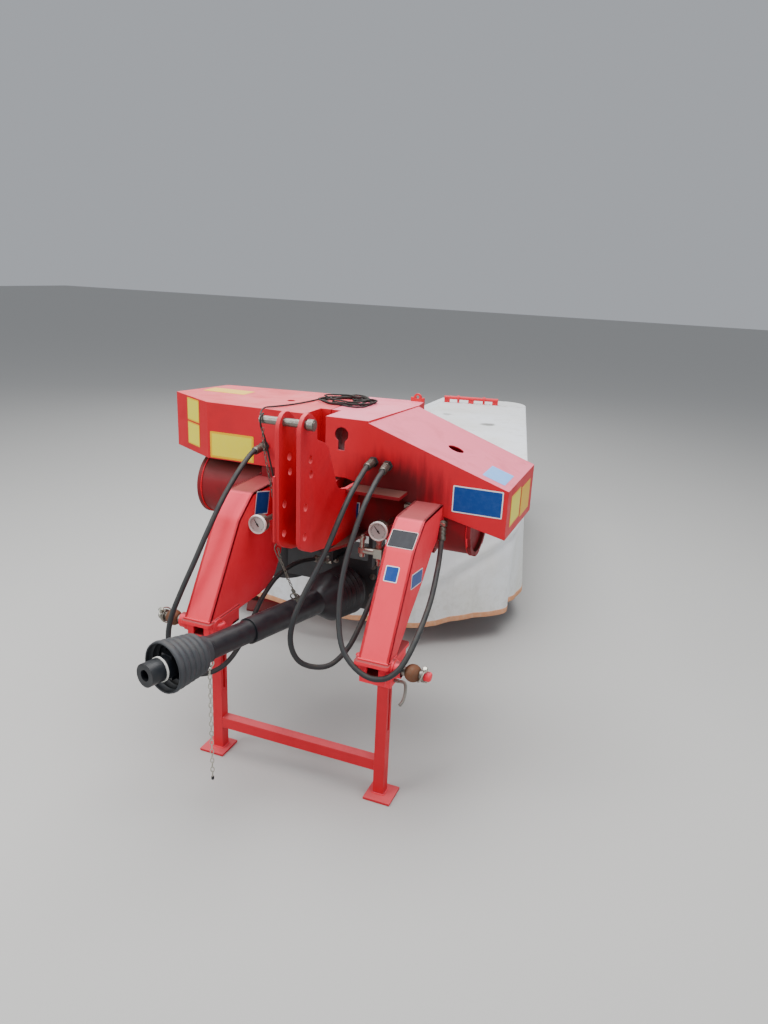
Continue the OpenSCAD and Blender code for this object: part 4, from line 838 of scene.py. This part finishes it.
def plate(outline, holes, x0, x1):
    """A flat plate with holes from x0 to x1: its outline and holes are loops of [y, z] pairs."""
    loops = [np.asarray(loop, float) for loop in [outline] + holes]
    flat = np.concatenate(loops)
    faces = [list(f) for f in tessellate_polygon([[(y, z, 0) for y, z in loop.tolist()] for loop in loops])]
    count, start = len(flat), 0
    faces += [[i + count for i in face] for face in faces]
    for loop in loops:
        ring = start + np.arange(len(loop))
        after = np.roll(ring, -1)
        faces += np.stack([ring, after, after + count, ring + count], -1).tolist()
        start += len(loop)
    points = [np.column_stack([np.full(count, x), flat]) for x in (x0, x1)]
    return np.concatenate(points), faces


tube_arc = arc((TUBE_Y, TUBE_Z), TUBE_R - 0.5, math.radians(111), math.radians(227.6), 24)
mast_outline = np.concatenate([[[2, 884]], MAST_HEAD, MAST_REAR, tube_arc, [[302, 787], [83, 827], [40, 845], [20, 857],
                                                                            [8, 868]]])
mast_holes = [arc((y, z), 13, 2 * math.pi, 0, 29)[:-1]
              for y, z in [(36, 1250), (70, 1136), (75, 1088), (40, 990), (37, 894)]]
mast = [plate(mast_outline, mast_holes, *sorted((side * MAST_IN, side * MAST_OUT))) for side in (-1, 1)]
mast.append(slab([[-3, 873], [15, 873], [17, 880], [17, 1078], [13, 1086], [-3, 1086]], [-48.5, 0, 0], AWAY, UP, 6))
mast.append(plate([[140, 815], [140, 826], [410, 777], [480, 783], [478, 771], [410, 765]], [], -31, 31))
shelves = []
for side in (-1, 1):
    # Shelf that carries the cover, and the gusset along the plate's foot
    shelves.append(slab(oblong(42.5, 340, 240, 424), [0, 0, 960], [side, 0, 0], AWAY, side * 12))
    shelves.append(slab([[42.5, 215], [78, 305], [80, 380], [80, 458], [42.5, 458]], [0, 0, 783], [side, 0, 0], AWAY,
                     side * 10))
mast_body = piece("mast_plates", joined(mast), "red")
# The shelves under the cover take the darker red, which is painted shade
piece("mast_shelves", joined(shelves), "dark_red")
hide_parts("mast")

for name, side in (("left_leg", -1), ("right_leg", 1)):
    leg = piece(name + "_box", box_leg(side), "leg_red")
    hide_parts(name)

# Small hardware


def hex_bolt(middle, axis, across, head):
    """Hexagon head with a chamfered top on a flat washer."""
    r = across / math.sqrt(3)
    return joined([turned([[1.5, r], [head, r], [head + 1, r - 1.6]], middle, axis, 6),
                   turned([[-0.5, across * 0.85], [1.6, across * 0.85]], middle, axis, 24)])


def ring_pin(middle, axis, hang, reach=58, ring=26):
    """Linch pin: a round pin through a shaft's end with a spring ring that hangs beside it."""
    u, axis, middle = unit(np.asarray(hang, float)), np.asarray(axis, float), np.asarray(middle, float)
    side = np.cross(u, axis)
    pin = turned([[-reach / 2, 3.4], [-reach / 2 + 2, 4.6], [reach / 2 - 4, 4.6], [reach / 2 - 4, 8.5],
                  [reach / 2 + 4, 8.5], [reach / 2 + 6, 6]], middle, u, 16)
    t = around(28)[:, None]
    down = 0.9 * u + 0.43 * axis
    hoop = middle + u * (reach / 2 - 2) + side * (ring * np.cos(t)) + down * (ring * np.sin(t) - ring)
    return joined([pin, bar(hoop, 2.2, np.cross(side, down), 8, closed=True)])


piece("right_linch_pin", ring_pin([477, 0, HITCH_Z], RIGHT, [0, -0.35, 0.94]), "zinc")
piece("left_linch_pin", ring_pin([-477, 0, HITCH_Z], [-1, 0, 0], [0, -0.5, 0.87]), "zinc")
piece("right_pin_tip", turned([[-2, 15.2], [16, 15.2], [20, 12], [21, 4]], [474, 0, HITCH_Z], RIGHT, 24), "leg_red")


def bent_handle(x, y, z, side):
    """Locking pin's handle: a round bar bent down and forward from the pin's outer end."""
    path = smooth([[x, y, z], [x + side * 16, y, z], [x + side * 24, y - 6, z - 10], [x + side * 26, y - 16, z - 34],
                   [x + side * 24, y - 30, z - 52], [x + side * 20, y - 44, z - 58]], 5)
    return bar(path, 5.4, [side, 0.2, 0], 12)


piece("right_lock_handle", bent_handle(364, STAND_Y, 440, 1), "steel")
piece("left_lock_handle", bent_handle(-364, STAND_Y, 440, -1), "steel")

flange_bolts = [hex_bolt([-630, TUBE_Y + 96 * math.cos(a), TUBE_Z + 96 * math.sin(a)], [-1, 0, 0], 19, 9)
                for a in np.radians(np.arange(22.5, 360, 45))]
piece("tube_end_bolts", joined(flange_bolts), "steel")
lid_bolts = [hex_bolt([x, 540, z], [0, -1, 0], 15, 8) for x in (-78, 78) for z in (458, 500, 580, 622)]
piece("gearbox_bolts", joined(lid_bolts), "steel")

# Valve below the right gauge: unions, a needle wheel and a tee, all hexagons and collars
valve = [turned([[0, 11], [12, 11], [13, 9], [22, 9], [23, 12], [34, 12]], [186, 314, 790], UP, 6),
         turned([[0, 10.5], [10, 10.5], [11, 8], [14, 8]], [171, 314, 773], [-1, 0, 0], 6),
         turned([[18, 11.5], [30, 11.5]], [171, 314, 773], [-1, 0, 0], 6),
         turned([[0, 8], [16, 8], [17, 12], [26, 12], [27, 7], [34, 7]], [124, 314, 796], UP, 20),
         turned([[0, 9.5], [14, 9.5], [15, 6.5], [30, 6.5]], [186, 314, 756], [0, 0, -1], 6),
         turned([[-10, 14.5], [10, 14.5]], [124, 314, 773], UP, 6)]
piece("valve_unions", joined(valve), "zinc", sharp=25)


def weld(path, across, radius=4.0, pitch=7.0):
    """Weld bead: a bar whose radius swells once for each pitch along it, as the hand that laid it moved on."""
    path = np.asarray(path, float)
    run = run_along(path)
    s = np.arange(0, run[-1], 1.75)
    fine = np.column_stack([np.interp(s, run, path[:, k]) for k in range(3)])
    return bar(fine, radius * (1 + 0.16 * np.sin(2 * math.pi * s / pitch)), across, 8)


welds = []
for side in (-1, 1):
    welds.append(weld([[side * 44, 341, 973], [side * 44, 422, 973]], UP))
    for x, back in ((LEG_IN - 0.5, 140), (LEG_OUT + 0.5, 34)):
        welds.append(weld([[side * x, y, z] for y, z in TUBE_SIDE], RIGHT))
        welds.append(weld([[side * x, -28, 559.5], [side * x, back, 559.5]], RIGHT, 3.6))
    welds.append(weld([[side * LEG_IN, -36, 560], [side * LEG_OUT, -36, 560]], AWAY, 3.8))
ring_t = np.linspace(0, 2 * math.pi, 160)[:, None]
for x in (-615.5, 455.5):
    round_tube = (TUBE_R + 1) * np.column_stack([0 * ring_t, np.cos(ring_t), np.sin(ring_t)])
    welds.append(weld([x, TUBE_Y, TUBE_Z] + round_tube, RIGHT, 3.6))
piece("headstock_welds", joined(welds), "leg_red", sharp=80)
feet = []
for side in (-1, 1):
    x0, x1 = side * STAND_X - 19.5, side * STAND_X + 19.5
    feet.append(weld([[x0, 66.5, 9], [x1, 66.5, 9], [x1, 105.5, 9], [x0, 105.5, 9], [x0, 66.5, 9]], UP, 3.2))
piece("stand_foot_welds", joined(feet), "leg_red", "stand", sharp=80)

# Chains: the guard's, which keeps it from turning, the top pin's and the small keeper's

def chain(top, count, pitch, wire):
    """Straight chain hanging from a point: each link a stadium loop, turned a quarter from the one above it."""
    shapes = []
    t = around(20)
    for k in range(count):
        flat = np.column_stack([0.31 * pitch * np.cos(t),
                                (0.62 * pitch - wire) * np.sign(np.sin(t)) * np.abs(np.sin(t)) ** 0.6])
        lean = 0.4 + k % 2 * math.pi / 2
        u = np.array([math.cos(lean), math.sin(lean), 0])
        loop = np.asarray(top, float) + u * flat[:, :1] + np.array([0, 0, 1.0]) * (flat[:, 1:] - (k + 0.5) * pitch)
        shapes.append(bar(loop, wire, np.cross(u, UP), 6, closed=True))
    return joined(shapes)


def linked(path, pitch=13.0, wire=1.5):
    """Chain along a path: a stadium loop at every pitch, lying along the path, turned a quarter from the last."""
    path = np.asarray(path, float)
    run = run_along(path)
    s = np.arange(pitch / 2, run[-1], pitch)
    t = around(16)[:, None]
    shapes = []
    for k, here in enumerate(s):
        spot, ahead = [np.array([np.interp(here + d, run, path[:, i]) for i in range(3)]) for d in (0, 2)]
        u, v, w = square_to(ahead - spot)
        side, other = (u, v) if k % 2 else (v, u)
        loop = spot + 0.3 * pitch * np.cos(t) * side + (0.6 * pitch - wire) * np.sin(t) * w
        shapes.append(bar(loop, wire, other, 6, closed=True))
    return joined(shapes)


pin_chain = linked(smooth([[-96, 22, 1228], [-93, 18, 1190], [-82, 16, 1130], [-70, 18, 1070], [-60, 22, 1010],
                           [-52, 26, 968], [-47.5, 28, 944]], 8))
piece("top_pin_chain", pin_chain, "dull")
# Keeper below the left mast plate: a doubled wire, a short chain and its linch pin
keeper_top = [-44, 14, 866]
keeper = [bar(smooth([keeper_top, [-46, 4, 852], [-34, 2, 826], [-20, 4, 800], [-10, 8, 772], [-4, 10, 750]]), 1.6,
              RIGHT, 8),
          linked(smooth([[-38, 12, 852], [-26, 8, 815], [-8, 6, 780], [6, 10, 742], [20, 14, 712]], 8), 12, 1.4),
          ring_pin([22, 14, 704], AWAY, [0.5, 0.1, -0.85], 40, 14)]
keeper_piece = piece("mast_keeper", joined(keeper), "dull")
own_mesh(keeper_piece)

PTO_TIP, PTO_REAR = np.array([-218.0, -380.0, 571.0]), np.array([0.0, 480.0, 540.0])
pto_along = unit(PTO_TIP - PTO_REAR)

# Front guard: inner tube with a lipped end, then the rubber bellows, pleated, open at the front round the yoke
tube_line = [[330, 34], [330, 38], [344, 38], [344, 39.6], [350, 39.6], [350, 38], [694, 38], [698, 43], [712, 43],
             [716, 39], [716, 34]]
pleat = np.linspace(0, 6, 73)
pleats = np.column_stack([738 + 21 * pleat, 62 + 2.6 * pleat + 4.5 * np.abs(np.sin(math.pi * pleat)) ** 0.7])
outside = np.concatenate([[[704, 43.2], [722, 46], [732, 58]], pleats, [[866, 78.5]]])
inside = np.concatenate([[[866, 75]], pleats[::-1] - [0, 3.4], [[734, 54], [722, 43.4]]])
front_tube = piece("pto_guard_tube", turned(tube_line, PTO_REAR, pto_along, 56, ring=True), "guard", "pto_front")
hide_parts("pto_front")
piece("pto_bellows", turned(np.concatenate([outside, inside]), PTO_REAR, pto_along, 72, ring=True), "bellows",
      "pto_front", sharp=60)
piece("pto_clamp", turned([[872, 35], [872, 38.5], [878, 38.5], [878, 35]], PTO_REAR, pto_along, 40, ring=True),
      "bezel", "pto_yoke", slot="black_plastic")
eye_at = PTO_REAR + pto_along * 688
hook = smooth([eye_at + [2, 0, -36], eye_at + [14, 2, -46], eye_at + [8, 0, -62], eye_at + [-8, 0, -60],
               eye_at + [-10, 0, -46]], 6)
top = eye_at + [0, 0, -58]
links = int((top[2] - 85) // 17)
tail = turned([[0, 2], [3, 5], [12, 5], [14, 2]], top - [0, 0, 17 * links + 14], UP, 12)
guard_chain = piece("guard_chain", joined([bar(hook, 2.4, AWAY, 8), chain(top, links, 17, 1.6)]), "zinc",
                    "pto_front")
chain_tail = piece("guard_chain_tail", tail, "rubber", "pto_front")
for hung in (guard_chain, chain_tail):
    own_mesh(hung)

# Floor and light

bpy.ops.mesh.primitive_plane_add(size=60, location=(0, 0, -0.001))
floor = bpy.context.object
floor.name = "floor"
pale, tree, surface, _ = finish_tree("pale_studio_floor")
fill(tree, surface, {"Base Color": linear("#bab9b6"), "Roughness": 0.85})
floor.data.materials.append(pale)

world = bpy.data.worlds.new("overcast")
world.use_nodes = True
fill(world.node_tree, world.node_tree.nodes["Background"], {"Color": linear("#e9eef6"), "Strength": 0.5})
scene.world = world


def soft_light(name, spot, aim, size, power):
    """A square studio softbox at a spot, turned to face the aim."""
    data = bpy.data.lights.new(name, "AREA")
    data.size, data.energy = size, power
    lamp = bpy.data.objects.new(name, data)
    scene.collection.objects.link(lamp)
    lamp.location = spot
    lamp.rotation_euler = (Vector(aim) - Vector(spot)).to_track_quat("-Z", "Y").to_euler()


soft_light("overhead", (0.3, -0.8, 4.6), (0.2, -0.6, 0.6), 4.5, 370)
soft_light("front_left", (-2.6, -4.6, 3.2), (0.3, -1.2, 0.8), 2.6, 130)
soft_light("front_right", (4.2, -3.4, 1.6), (0.4, -0.6, 0.5), 2.4, 45)
soft_light("rear", (-2.5, 4.5, 3.5), (0, 0.4, 0.6), 3.0, 60)
